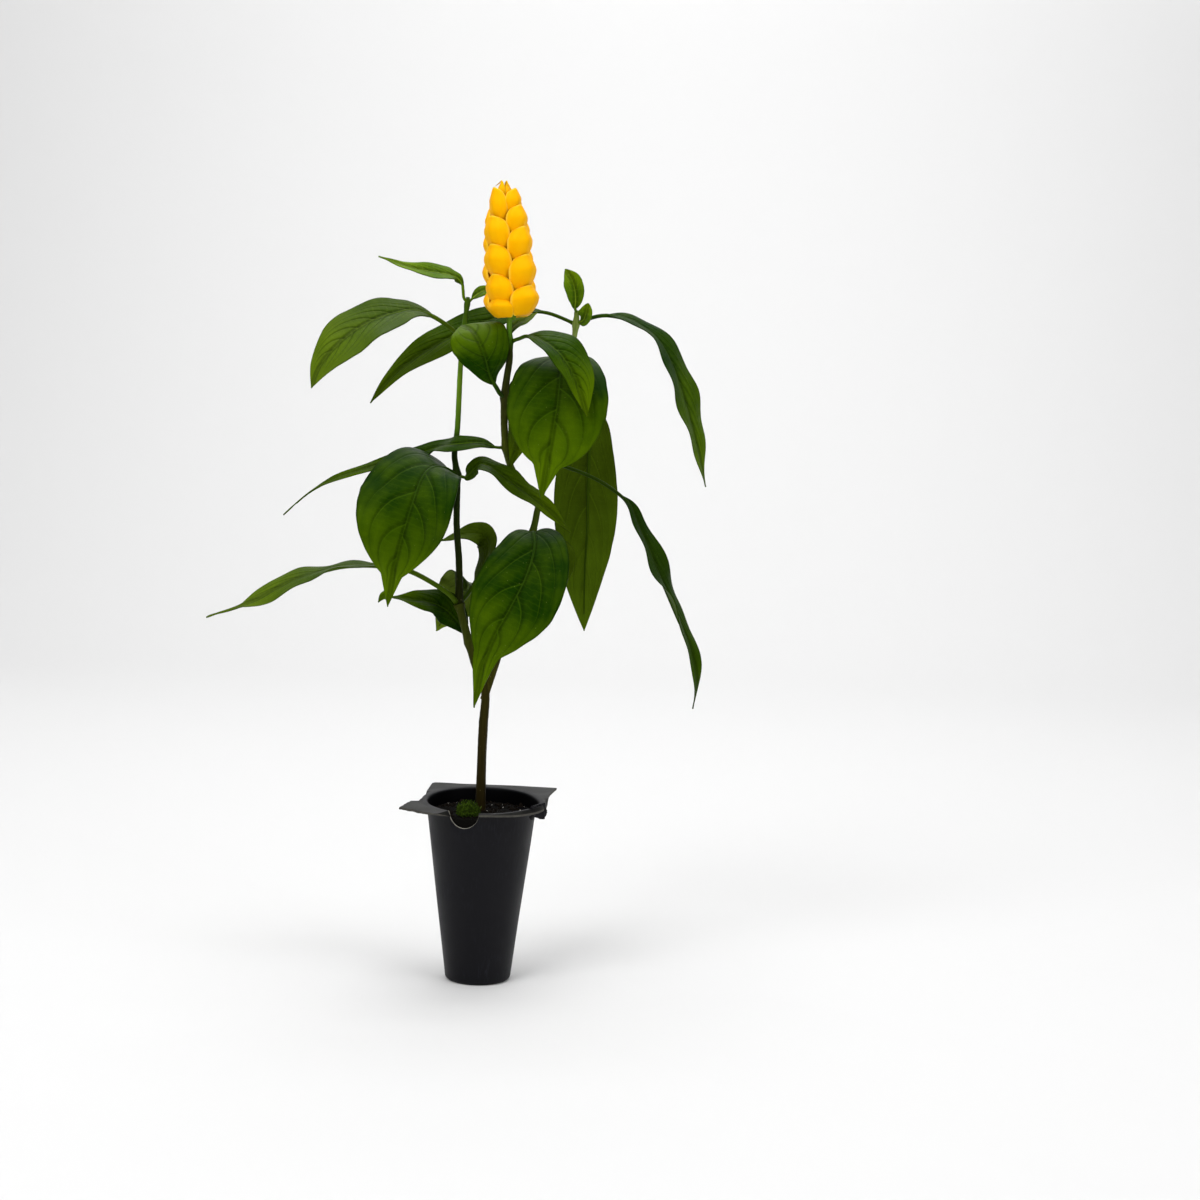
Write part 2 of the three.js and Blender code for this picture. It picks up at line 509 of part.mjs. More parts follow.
// One bract, rooted on the core at height 0 and facing -Y: it cups outwards, then closes in a little to its tip
function bractGeometry(length, size) {
  const top = [];
  const bottom = [];
  const points = [];
  for (let i = 0; i <= SPIKE.bractRows; i += 1) {
    const t = 0.5 - 0.5 * Math.cos(Math.PI * i / SPIKE.bractRows);
    const swell = Math.sin(0.5 * Math.PI * Math.min(1, t / SPIKE.cupFull)) ** 0.8;
    const close = SPIKE.cupClose * smooth((t - SPIKE.cupFull) / (1 - SPIKE.cupFull));
    const cup = mix(SPIKE.cupFoot, 1, swell) - close;
    const oval = (1 - Math.abs(2 * mix(0.05, 0.99, t) - 1) ** 2.4) ** 0.46;
    const reach = mix(SPIKE.coreRadius * 0.6, SPIKE.bractReach * size * cup, smooth(t / SPIKE.claw));
    const topRow = [];
    const bottomRow = [];
    for (let k = 0; k <= SPIKE.bractColumns; k += 1) {
      const v = 2 * k / SPIKE.bractColumns - 1;
      const turn = THREE.MathUtils.degToRad(SPIKE.spread) * v * oval;
      const tuck = (0.3 * Math.abs(v) ** 2.6 - 0.03 * smooth((Math.abs(v) - 0.86) / 0.14)) * smooth(t / 0.25);
      const out = reach * (1 - tuck);
      const rise = length * (t - 0.05 * v * v * t);
      const spot = (r) => [r * Math.sin(turn), -r * Math.cos(turn), rise];
      topRow.push(points.push(spot(out)) - 1);
      bottomRow.push(points.push(spot(out - SPIKE.bractThick)) - 1);
    }
    top.push(topRow);
    bottom.push(bottomRow);
  }
  return fromGrid(points, sheetFaces(top, bottom));
}

function spikeGeometry() {
  const s = SPIKE;
  const core = new THREE.LatheGeometry([
    new THREE.Vector2(0, 0), new THREE.Vector2(1.4, 0), new THREE.Vector2(s.coreRadius, 5),
    new THREE.Vector2(s.coreRadius * 0.8, s.coreHeight * 0.7), new THREE.Vector2(1.5, s.coreHeight - 1),
    new THREE.Vector2(0, s.coreHeight),
  ], s.coreSides).rotateX(Math.PI / 2);
  let whole = toSolid(core);
  s.pairs.forEach(([tip, length, size], pair) => {
    const bract = bractGeometry(length, size);
    for (const half of [0, 180]) {
      const turn = THREE.MathUtils.degToRad(s.firstTurn + 90 * pair + half);
      whole = whole.add(toSolid(bract.clone().rotateZ(turn).translate(0, 0, tip - length)));
    }
  });
  const tilt = new THREE.Quaternion().setFromUnitVectors(new THREE.Vector3(0, 0, 1), vec(s.lean).normalize());
  return toGeometry(withoutPockets(whole)).applyQuaternion(tilt).translate(...s.foot);
}

// Pot

function potWallRadius(z) {
  return mix(POT.footRadius, POT.mouthRadius, (z - POT.footCorner) / (POT.height - POT.footCorner));
}

function potBody() {
  const p = POT;
  const under = p.height - p.lipThick;
  const outer = [new THREE.Vector2(0, 0), new THREE.Vector2(p.footRadius - p.footCorner, 0)];
  for (const turn of [30, 60, 90]) {
    const a = THREE.MathUtils.degToRad(turn);
    outer.push(new THREE.Vector2(
      p.footRadius - p.footCorner * (1 - Math.sin(a)), p.footCorner * (1 - Math.cos(a)),
    ));
  }
  outer.push(new THREE.Vector2(potWallRadius(under - p.lipFillet), under - p.lipFillet));
  outer.push(new THREE.Vector2(potWallRadius(under) + p.lipFillet * 0.4, under - 0.4 * p.lipFillet));
  outer.push(new THREE.Vector2(p.lipRadius - 1, under));
  outer.push(new THREE.Vector2(p.lipRadius - 1, p.height));
  outer.push(new THREE.Vector2(potWallRadius(p.height) + 0.5, p.height));
  outer.push(new THREE.Vector2(potWallRadius(under) - p.wall, under - p.lipFillet));
  outer.push(new THREE.Vector2(p.footRadius - p.wall, p.footCorner + 1));
  outer.push(new THREE.Vector2(p.footRadius - p.wall - 2, p.floor));
  outer.push(new THREE.Vector2(0, p.floor));
  return new THREE.LatheGeometry(outer, p.sides).rotateX(Math.PI / 2);
}

// The square tray flange as it was torn
function flangePlate() {
  const p = POT;
  const outline = new THREE.Shape();
  FLANGE_EDGE.forEach(([x, y], i) => (i === 0 ? outline.moveTo(x, y) : outline.lineTo(x, y)));
  outline.absarc(0, 0, p.lipRadius, THREE.MathUtils.degToRad(-88), THREE.MathUtils.degToRad(-4), false);
  outline.closePath();
  const mouth = new THREE.Path();
  mouth.absarc(0, 0, p.lipRadius - 2.2, 0, 2 * Math.PI, true);
  outline.holes.push(mouth);
  const plate = new THREE.ExtrudeGeometry(
    outline, { depth: p.flangeThick, bevelEnabled: false, curveSegments: 10 },
  );
  return plate.rotateZ(p.flangeTurn).translate(0, 0, p.height - p.flangeThick);
}

// The strip of flange that hangs down beside the missing corner
function tornFlap() {
  const outline = new THREE.Shape([
    new THREE.Vector2(-6.5, 0), new THREE.Vector2(6.5, 0), new THREE.Vector2(6, -7), new THREE.Vector2(3, -8.4),
    new THREE.Vector2(0, -7.2), new THREE.Vector2(-4, -5),
  ]);
  const flap = new THREE.ExtrudeGeometry(outline, { depth: POT.flangeThick, bevelEnabled: false });
  return flap.rotateX(Math.PI / 2).translate(0, POT.flangeThick / 2, 0).rotateZ(Math.PI / 2 + POT.flapTurn)
    .translate(...POT.flapAt);
}

// The mouth of the thin pot has sagged to the front: heights drop in step with their distance to the back
function sagged(solid) {
  return solid.warp((spot) => {
    spot[2] += POT.sag * (spot[1] - POT.sagFrom) * spot[2] / POT.height;
  });
}

function potGeometry() {
  const p = POT;
  const notch = new THREE.CylinderGeometry(p.notchRadius, p.notchRadius, 16, 18)
    .translate(0, -(p.mouthRadius + 2), 0).rotateZ(p.notchTurn).translate(0, 0, p.notchHeight);
  let whole = sagged(toSolid(potBody()).add(toSolid(flangePlate())).subtract(toSolid(notch)));
  whole = whole.add(toSolid(tornFlap()));
  for (let i = 0; i < p.drainCount; i += 1) {
    const turn = 2 * Math.PI * (i + 0.5) / p.drainCount;
    const hole = new THREE.CylinderGeometry(p.drainRadius, p.drainRadius, 8, 12).rotateX(Math.PI / 2)
      .translate(p.drainCircle * Math.cos(turn), p.drainCircle * Math.sin(turn), 0);
    whole = whole.subtract(toSolid(hole));
  }
  return toGeometry(whole);
}

// Soil: it fills the pot to just under the rim, slightly mounded round the trunk
function soilGeometry() {
  const p = POT;
  const inner = (z) => potWallRadius(z) - p.wall - FIT_GAP - 0.35;
  const profile = [
    new THREE.Vector2(0, p.floor + FIT_GAP), new THREE.Vector2(p.footRadius - p.wall - 2.6, p.floor + FIT_GAP),
    new THREE.Vector2(inner(p.footCorner + 1.2), p.footCorner + 1.6),
    new THREE.Vector2(inner(SOIL.top), SOIL.top - 1), new THREE.Vector2(inner(SOIL.top) - 1.2, SOIL.top - 0.2),
    new THREE.Vector2(18, SOIL.top - 0.6), new THREE.Vector2(9, SOIL.top + 0.2),
    new THREE.Vector2(3, SOIL.top + 0.8), new THREE.Vector2(0, SOIL.top + 0.8),
  ];
  const plug = new THREE.LatheGeometry(profile, SOIL.sides).rotateX(Math.PI / 2);
  const spots = plug.attributes.position;
  for (let i = 0; i < spots.count; i += 1) {
    const x = spots.getX(i);
    const y = spots.getY(i);
    const z = spots.getZ(i);
    const reach = Math.hypot(x, y);
    if (z > SOIL.top - 0.9 && reach > 2 && reach < 25) {
      spots.setZ(i, z + SOIL.mound * 0.5 * Math.sin(0.31 * x + 1.1) * Math.cos(0.27 * y - 0.4));
    }
  }
  const footRadius = TRUNK[0][3] + 0.6;
  const footBottom = TRUNK[0][2] - FIT_GAP;
  const footTop = SOIL.top + 10;
  const foot = new THREE.CylinderGeometry(footRadius, footRadius, footTop - footBottom, 12).rotateX(Math.PI / 2)
    .translate(0, 0, (footTop + footBottom) / 2).rotateY(PLANT_LEAN).translate(PLANT_SHIFT, 0, 0);
  return toGeometry(toSolid(plug).subtract(toSolid(foot)));
}

// The model: the pot and its soil stand upright, and the plant leans as one group
const model = new THREE.Group();
const plant = new THREE.Group();
plant.rotation.y = PLANT_LEAN;
plant.position.x = PLANT_SHIFT;
model.add(plant);

function place(group, name, geometry, colour, roughness) {
  const mesh = new THREE.Mesh(geometry, material(colour, roughness));
  mesh.name = name;
  group.add(mesh);
}

place(model, 'pot', potGeometry(), COLOURS.pot, 0.5);
place(model, 'soil', soilGeometry(), COLOURS.soil, 0.95);
place(plant, 'stems', stemsGeometry(), COLOURS.stem, 0.6);
for (const [name, leaf] of Object.entries(LEAVES)) {
  place(plant, name, leafGeometry(leaf), leaf.young ? COLOURS.youngLeaf : COLOURS.oldLeaf, 0.45);
}
place(plant, 'bloom_spike', spikeGeometry(), COLOURS.bract, 0.5);

export default model;
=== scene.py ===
"""Golden shrimp plant in a small plug pot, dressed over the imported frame.

Sizes are in millimetres in the classes and are turned to metres when a mesh is built.
"""

import logging
import math
import random
from bisect import bisect_right
from collections.abc import Callable
from dataclasses import dataclass, field
from enum import Enum

import bmesh
import bpy
from mathutils import Matrix, Vector, noise


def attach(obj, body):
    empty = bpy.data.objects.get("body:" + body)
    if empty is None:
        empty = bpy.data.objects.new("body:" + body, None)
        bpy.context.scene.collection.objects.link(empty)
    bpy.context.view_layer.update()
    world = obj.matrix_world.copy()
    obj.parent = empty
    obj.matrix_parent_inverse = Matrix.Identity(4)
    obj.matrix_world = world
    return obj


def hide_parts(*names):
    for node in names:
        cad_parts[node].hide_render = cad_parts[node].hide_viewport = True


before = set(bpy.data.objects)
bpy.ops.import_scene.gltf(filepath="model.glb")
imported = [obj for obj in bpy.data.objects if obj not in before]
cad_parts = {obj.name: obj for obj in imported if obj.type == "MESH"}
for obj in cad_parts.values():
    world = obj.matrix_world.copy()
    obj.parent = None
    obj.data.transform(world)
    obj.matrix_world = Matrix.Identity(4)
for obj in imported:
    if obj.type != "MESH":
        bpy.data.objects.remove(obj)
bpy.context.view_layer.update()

log = logging.getLogger("shrimp_plant")

MM = 0.001
Colour = tuple[float, float, float, float]
Triple = tuple[float, float, float]
Tree = bpy.types.NodeTree
Socket = bpy.types.NodeSocket
Material = bpy.types.Material
Piece = bpy.types.Object
Mesh = bmesh.types.BMesh
Point = bmesh.types.BMVert
Edge = bmesh.types.BMEdge
Face = bmesh.types.BMFace
Feeds = dict[str | int, object]
Places = dict[str, bpy.types.Node | Socket]

# The plant stands a little off the pot's axis and leans to the left as a whole
PLANT_SHIFT = 2.1
PLANT_LEAN = math.radians(-1.6)


def linear(sheet_colour: str) -> Colour:
    """Turns an sRGB hex colour to linear light.

    Args:
        sheet_colour: a colour such as "#1e1f26".

    Returns:
        Red, green, blue and an alpha of 1, in linear light.
    """
    parts = [int(sheet_colour[i : i + 2], 16) / 255 for i in (1, 3, 5)]
    light = [p / 12.92 if p <= 0.04045 else ((p + 0.055) / 1.055) ** 2.4 for p in parts]
    return (light[0], light[1], light[2], 1.0)


def blend(a: float, b: float, t: float) -> float:
    """Returns the value a share t of the way from a to b."""
    return a + (b - a) * t


def ease(t: float) -> float:
    """Returns a smooth step from 0 to 1."""
    u = min(1.0, max(0.0, t))
    return u * u * (3 - 2 * u)


def feed(tree: Tree, node: bpy.types.Node, feeds: Feeds) -> None:
    """Sets a node's sockets.

    Args:
        tree: the tree that holds the node.
        node: the node.
        feeds: socket name or number to its value, or to the output or the node that is linked to it.
    """
    for socket, source in feeds.items():
        if isinstance(source, bpy.types.Node):
            source = next(out for out in source.outputs if out.enabled)
        if isinstance(source, Socket):
            tree.links.new(source, node.inputs[socket])
        else:
            node.inputs[socket].default_value = source


def add_node(tree: Tree, kind: str, feeds: Feeds | None = None, **settings: object) -> bpy.types.Node:
    """Adds a node with its settings, its socket values and its links.

    Args:
        tree: the tree that takes the node.
        kind: the node's type name, without its ShaderNode.
        feeds: its sockets' values and sources.
        settings: the node's own properties.

    Returns:
        The new node.
    """
    node = tree.nodes.new("ShaderNode" + kind)
    for name, value in settings.items():
        setattr(node, name, value)
    feed(tree, node, feeds or {})
    return node


def new_surface(name: str) -> tuple[Material, Tree, bpy.types.Node, Socket]:
    """Starts a material.

    Args:
        name: the finish's name.

    Returns:
        The material, its tree, its Principled BSDF node, and the output with the place on the object.
    """
    surface = bpy.data.materials.new(name)
    surface.use_nodes = True
    tree = surface.node_tree
    return surface, tree, tree.nodes["Principled BSDF"], add_node(tree, "TexCoord").outputs["Object"]


class LeafTone(Enum):
    """How old a leaf is, with SHADED a darker copy for a leaf in shade, which is painted shade: colours of its root,
    its tip, its veins, its underside and its stalk, then its wax.
    """

    DEEP = ("#112e01", "#4c6603", "#4a6a0c", "#344c0f", "#2c4609", 0.25)
    RIPE = ("#1f3a02", "#4c6403", "#56740f", "#40540f", "#365007", 0.25)
    BRIGHT = ("#2e4603", "#566e05", "#6a8416", "#52641c", "#4a6010", 0.5)
    FRESH = ("#46660a", "#6b8a0c", "#86a428", "#74903a", "#58780f", 0.3)
    OLIVE = ("#263c02", "#445803", "#4e660e", "#374807", "#344a06", 0.25)
    # A darker copy of the greens for the leaf that stands in shade: painted shade
    SHADED = ("#152c01", "#304802", "#38500a", "#384c10", "#283c08", 0.25)


@dataclass(frozen=True)
class LeafBlade:
    """Upper and lower skin of a soft evergreen leaf: satin cuticle, sunken arching veins with painted shade beside
    them and painted light on the pads between them, paler and duller below.

    It reads two maps of the blade: "blade" holds the places across and along as shares, and "span" the same two in
    tenths of a metre, so that fine marks keep their real size on every leaf. lead says how far a side vein runs ahead
    on its way out, in a straight and in a cubed part, stagger how far the right half's veins are set off from the
    left half's, in vein spacings, and rib is half the midrib's width in tenths of a metre.
    """

    tone: LeafTone
    veins: int = 6
    lead: tuple[float, float] = (0.20, 0.42)
    stagger: float = 0.35
    rib: float = 0.0042
    # The dark green of the painted shade beside the sunken veins and of the darker rim
    shade_and_rim: str = "#0a1a00"
    speck: str = "#8c9a52"

    def _places(self, tree: Tree) -> Places:
        """Reads the blade's maps.

        Args:
            tree: the material's tree.

        Returns:
            "across" from 0 to 1, "along" from 0 to 1, "signed" from -1 to 1, and "gap" and "length" on the real leaf.
        """
        share, span = (add_node(tree, "SeparateXYZ", {0: add_node(tree, "UVMap", uv_map=name)}).outputs
                       for name in ("blade", "span"))
        signed = add_node(tree, "Math", {0: share["X"], 1: 2.0, 2: -1.0}, operation="MULTIPLY_ADD")
        return {"signed": signed, "across": add_node(tree, "Math", {0: signed}, operation="ABSOLUTE"),
                "along": share["Y"], "gap": add_node(tree, "Math", {0: span["X"]}, operation="ABSOLUTE"),
                "length": span["Y"]}

    def _side_veins(self, tree: Tree, at: Places, spot: Socket) -> bpy.types.Node:
        """Counts side veins along the blade, as whole numbers on each vein's arc.

        Args:
            tree: the material's tree.
            at: the blade's maps.
            spot: the place on the object.

        Returns:
            The node with the running number.
        """
        square = add_node(tree, "Math", {0: at["across"], 1: at["across"]}, operation="MULTIPLY")
        bend = add_node(tree, "Math", {0: square, 1: self.lead[1], 2: self.lead[0]}, operation="MULTIPLY_ADD")
        ahead = add_node(tree, "Math", {0: bend, 1: at["across"]}, operation="MULTIPLY")
        back = add_node(tree, "Math", {0: at["along"], 1: ahead}, operation="SUBTRACT")
        right = add_node(tree, "Math", {0: at["signed"], 1: 0.0}, operation="GREATER_THAN")
        offset = add_node(tree, "Math", {0: right, 1: self.stagger}, operation="MULTIPLY")
        even = add_node(tree, "Math", {0: back, 1: float(self.veins), 2: offset}, operation="MULTIPLY_ADD")
        # Veins wander by a tenth of their spacing, in bends some 25 mm long
        stray = add_node(tree, "TexNoise", {"Vector": spot, "Scale": 40.0, "Detail": 1.0})
        return add_node(tree, "Math", {0: stray, 1: 0.22, 2: even}, operation="MULTIPLY_ADD")

    @staticmethod
    def _band(tree: Tree, value: bpy.types.Node | Socket, centre: float, inner: float, outer: float,
              share: bpy.types.Node | float) -> bpy.types.Node:
        """Masks what lies near a centre value.

        Args:
            tree: the material's tree.
            value: the running value.
            centre: the band's middle.
            inner: half the width of its full part.
            outer: half its whole width.
            share: what the mask is multiplied by.

        Returns:
            The node with the mask.
        """
        moved = add_node(tree, "Math", {0: value, 1: centre}, operation="SUBTRACT")
        away = add_node(tree, "Math", {0: moved}, operation="ABSOLUTE")
        mask = add_node(tree, "MapRange", {0: away, 1: inner, 2: outer, 3: 1.0, 4: 0.0},
                        interpolation_type="SMOOTHSTEP")
        return add_node(tree, "Math", {0: mask, 1: share}, operation="MULTIPLY")

    def _marks(self, tree: Tree, at: Places, beside: bpy.types.Node, spot: Socket) -> Places:
        """Draws the veins and what goes with them, among them painted shade beside the sunken veins.

        Args:
            tree: the material's tree.
            at: the blade's maps.
            beside: the distance from the nearest side vein, in vein spacings.
            spot: the place on the object.

        Returns:
            A mask for each mark.
        """
        # Side veins fade out before the margin and the tip, and the midrib's colour fades toward the tip
        inward = add_node(tree, "MapRange", {0: at["across"], 1: 0.55, 2: 0.92, 3: 1.0, 4: 0.0})
        ends = add_node(tree, "MapRange", {0: at["along"], 1: 0.80, 2: 0.97, 3: 1.0, 4: 0.0})
        seen = add_node(tree, "Math", {0: inward, 1: ends}, operation="MULTIPLY")
        toward_root = add_node(tree, "MapRange", {0: at["along"], 1: 0.12, 2: 0.62, 3: 1.0, 4: 0.12})
        # Cross veins join the side veins like the rungs of a ladder, some 3 mm apart
        warp = add_node(tree, "TexNoise", {"Vector": spot, "Scale": 260.0, "Detail": 1.0})
        rungs = add_node(tree, "Math", {0: at["length"], 1: 34.0, 2: warp}, operation="MULTIPLY_ADD")
        rung_at = add_node(tree, "Math", {0: rungs, 1: 0.5}, operation="PINGPONG")
        # Dry specks 0.5 mm wide lie some 3 mm apart
        specks = add_node(tree, "TexVoronoi", {"Vector": spot, "Scale": 300.0})
        # The shade band paints shade on the base side of each sunken side vein, and the trough band paints shade in
        # the sunken trough beside the midrib
        bands = {"line": (beside, 0.035, 0.008, 0.045, seen), "shade": (beside, -0.05, 0.02, 0.17, seen),
                 "rung": (rung_at, 0.0, 0.02, 0.16, seen),
                 "midrib": (at["gap"], 0.0, self.rib * 0.45, self.rib, toward_root),
                 "trough": (at["gap"], self.rib * 1.6, self.rib * 0.6, self.rib * 3.2, 1.0),
                 "speck": (specks, 0.0, 0.03, 0.075, 1.0)}
        marks = {name: self._band(tree, *band) for name, band in bands.items()}
        return {**marks, "margin": add_node(tree, "MapRange", {0: at["across"], 1: 0.955, 2: 0.985})}

    def build(self, under: bool) -> Material:
        """Makes the skin.

        Args:
            under: True for the duller underside.

        Returns:
            The material.
        """
        root, tip, vein, below, _, wax = self.tone.value
        surface, tree, shader, spot = new_surface(f"leaf_{self.tone.name.lower()}_{'under' if under else 'upper'}")
        at = self._places(tree)
        number = self._side_veins(tree, at, spot)
        nearest = add_node(tree, "Math", {0: number}, operation="ROUND")
        beside = add_node(tree, "Math", {0: number, 1: nearest}, operation="SUBTRACT")
        marks = self._marks(tree, at, beside, spot)
        # Clouds of colour about 15 mm across, as on a leaf that aged unevenly, and a paler tip; the pads that swell
        # between the veins are painted paler too, as painted light on their rise
        cloud = add_node(tree, "TexNoise", {"Vector": spot, "Scale": 65.0, "Detail": 3.0, "Roughness": 0.55})
        mottle = add_node(tree, "MapRange", {0: cloud, 1: 0.32, 2: 0.68, 3: -0.16, 4: 0.22})
        ageing = add_node(tree, "MapRange", {0: at["along"], 1: 0.38, 2: 0.95})
        share = add_node(tree, "Math", {0: mottle, 1: ageing}, operation="ADD")
        pad_light = add_node(tree, "Math", {0: beside}, operation="ABSOLUTE")
        tint_and_pad_light = add_node(tree, "Math", {0: pad_light, 1: 0.24, 2: share}, operation="MULTIPLY_ADD", use_clamp=True)
        ground = (below, vein) if under else (root, tip)
        skin = add_node(tree, "Mix", {0: tint_and_pad_light, 6: linear(ground[0]), 7: linear(ground[1])}, data_type="RGBA")
        # How strongly each mark covers the upper and the lower skin, from the first to the last laid on; shade and
        # trough are painted shade beside the sunken veins, and margin a darker rim
        washes = {"shade": (0.36, 0.08, self.shade_and_rim), "trough": (0.48, 0.05, self.shade_and_rim),
                  "margin": (0.3, 0.3, self.shade_and_rim), "rung": (0.09, 0.09, vein), "line": (0.26, 0.6, vein),
                  "midrib": (0.55, 0.9, vein), "speck": (0.35, 0.35, self.speck)}
        for name, (upper, lower, colour) in washes.items():
            strength = add_node(tree, "Math", {0: marks[name], 1: lower if under else upper}, operation="MULTIPLY")
            skin = add_node(tree, "Mix", {0: strength, 6: skin, 7: linear(colour)}, data_type="RGBA")
        # The blade swells between its sunken veins, under a fine net of veins 1.6 mm wide
        net = add_node(tree, "TexVoronoi", {"Vector": spot, "Scale": 620.0}, feature="DISTANCE_TO_EDGE")
        height = add_node(tree, "MapRange", {0: net, 2: 0.25, 4: 0.12})
        for name, depth in (("shade", -0.8), ("trough", -0.9), ("rung", -0.06)):
            height = add_node(tree, "Math", {0: marks[name], 1: depth, 2: height}, operation="MULTIPLY_ADD")
        relief = add_node(tree, "Bump", {"Strength": 0.35, "Distance": 0.0006, "Height": height}, invert=under)
        # The wax tints what it mirrors head on, and stays white where it is seen from the side
        feed(tree, shader, {"Base Color": skin, "Normal": relief, "Roughness": 0.64 if under else 0.5, "IOR": 1.42,
                            "Specular IOR Level": wax, "Specular Tint": linear("#a8b070" if wax > 0.4 else "#6a7a10")})
        return surface


@dataclass(frozen=True)
class LeafStalk:
    """A living leaf stalk: smooth, a little ribbed, green that browns near the stem."""

    tone: LeafTone

    def build(self) -> Material:
        """Makes the stalk's skin.

        Returns:
            The material.
        """
        surface, tree, shader, spot = new_surface(f"stalk_{self.tone.name.lower()}")
        # Darker streaks and patches some 5 mm long
        streak = add_node(tree, "TexNoise", {"Vector": spot, "Scale": 220.0, "Detail": 2.0})
        skin = add_node(tree, "Mix", {0: streak, 6: linear(self.tone.value[0]), 7: linear(self.tone.value[4])},
                        data_type="RGBA")
        feed(tree, shader, {"Base Color": skin, "Roughness": 0.5, "Specular IOR Level": 0.25,
                            "Specular Tint": linear("#8a9a30")})
        return surface


@dataclass(frozen=True)
class GreenBark:
    """Young bark of a soft-wooded stem: brown and corky low down, smooth and green high up, with pale dots."""

    name: str
    stops: tuple[tuple[float, str], ...]
    low: float
    high: float

    def build(self) -> Material:
        """Makes the bark.

        Returns:
            The material.
        """
        surface, tree, shader, spot = new_surface(self.name)
        split = add_node(tree, "SeparateXYZ", {0: spot})
        height = add_node(tree, "MapRange", {0: split.outputs["Z"], 1: self.low * MM, 2: self.high * MM})
        fade = add_node(tree, "ValToRGB", {0: height})
        fade.color_ramp.elements.remove(fade.color_ramp.elements[-1])
        for i, (place, colour) in enumerate(self.stops):
            stop = fade.color_ramp.elements.new(place) if i else fade.color_ramp.elements[0]
            stop.position, stop.color = place, linear(colour)
        # Long streaks in the bark, under 1 mm wide
        stretch = add_node(tree, "Mapping", {"Vector": spot, "Scale": (900.0, 900.0, 90.0)})
        streak = add_node(tree, "TexNoise", {"Vector": stretch, "Scale": 1.0, "Detail": 3.0})
        darker = add_node(tree, "MapRange", {0: streak, 1: 0.3, 2: 0.7, 3: 0.72, 4: 1.15})
        tinted = add_node(tree, "VectorMath", {0: fade, 1: darker}, operation="MULTIPLY")
        # Pale cork dots, about 0.4 mm, thick on the old wood and gone higher up
        dots = add_node(tree, "TexVoronoi", {"Vector": spot, "Scale": 420.0})
        dot = add_node(tree, "MapRange", {0: dots, 1: 0.10, 2: 0.16, 3: 0.5, 4: 0.0})
        old = add_node(tree, "MapRange", {0: height, 2: 0.5, 3: 1.0, 4: 0.0})
        share = add_node(tree, "Math", {0: dot, 1: old}, operation="MULTIPLY")
        dotted = add_node(tree, "Mix", {0: share, 6: tinted, 7: linear("#7d7350")}, data_type="RGBA")
        relief = add_node(tree, "Bump", {"Strength": 0.5, "Distance": 0.0004, "Height": streak})
        feed(tree, shader, {"Base Color": dotted, "Normal": relief, "Roughness": 0.55, "Specular IOR Level": 0.2,
                            "Specular Tint": linear("#8a8a50")})
        return surface


@dataclass(frozen=True)
class BractSkin:
    """Waxy petal-like bract: even golden yellow, with painted shade deepening it at its root, where it sits under the
    bract below, and along its keel, deeper clouds, and a thin paler rim.
    """

    body: str = "#ffb703"
    # The deeper gold of the painted shade at the root and along the keel, and of the clouds
    root: str = "#f0a000"
    rim: str = "#ffcf3a"

    def build(self) -> Material:
        """Makes the skin.

        Returns:
            The material.
        """
        surface, tree, shader, spot = new_surface("bract_gold")
        split = add_node(tree, "SeparateXYZ", {0: add_node(tree, "UVMap", uv_map="blade")})
        signed = add_node(tree, "Math", {0: split.outputs["X"], 1: 2.0, 2: -1.0}, operation="MULTIPLY_ADD")
        across = add_node(tree, "Math", {0: signed}, operation="ABSOLUTE")
        along = split.outputs["Y"]
        # Deeper clouds some 8 mm across, and painted shade at the bract's root and along its keel, which share the
        # deeper colour
        cloud = add_node(tree, "TexNoise", {"Vector": spot, "Scale": 130.0, "Detail": 2.0})
        low = add_node(tree, "MapRange", {0: along, 2: 0.5, 3: 0.45, 4: 0.0})
        keel = add_node(tree, "MapRange", {0: across, 2: 0.16, 3: 0.35, 4: 0.0})
        mottle = add_node(tree, "MapRange", {0: cloud, 1: 0.4, 2: 0.7, 4: 0.3})
        first = add_node(tree, "Math", {0: low, 1: keel}, operation="MAXIMUM")
        shade_and_clouds = add_node(tree, "Math", {0: first, 1: mottle}, operation="ADD", use_clamp=True)
        skin = add_node(tree, "Mix", {0: shade_and_clouds, 6: linear(self.body), 7: linear(self.root)}, data_type="RGBA")
        margin = add_node(tree, "MapRange", {0: across, 1: 0.86, 2: 0.96})
        tip = add_node(tree, "MapRange", {0: along, 1: 0.95, 2: 0.985})
        edge = add_node(tree, "Math", {0: margin, 1: tip}, operation="MAXIMUM")
        rimmed = add_node(tree, "Mix", {0: edge, 6: skin, 7: linear(self.rim)}, data_type="RGBA")
        # Light passes a little way through a bract 0.4 mm thick, which warms the shade between the bracts
        feed(tree, shader, {"Base Color": rimmed, "Subsurface Weight": 0.2, "Subsurface Scale": 1.0,
                            "Subsurface Radius": (0.0012, 0.0008, 0.0002), "Roughness": 0.55,
                            "Specular IOR Level": 0.25, "Specular Tint": linear("#ffc020")})
        return surface


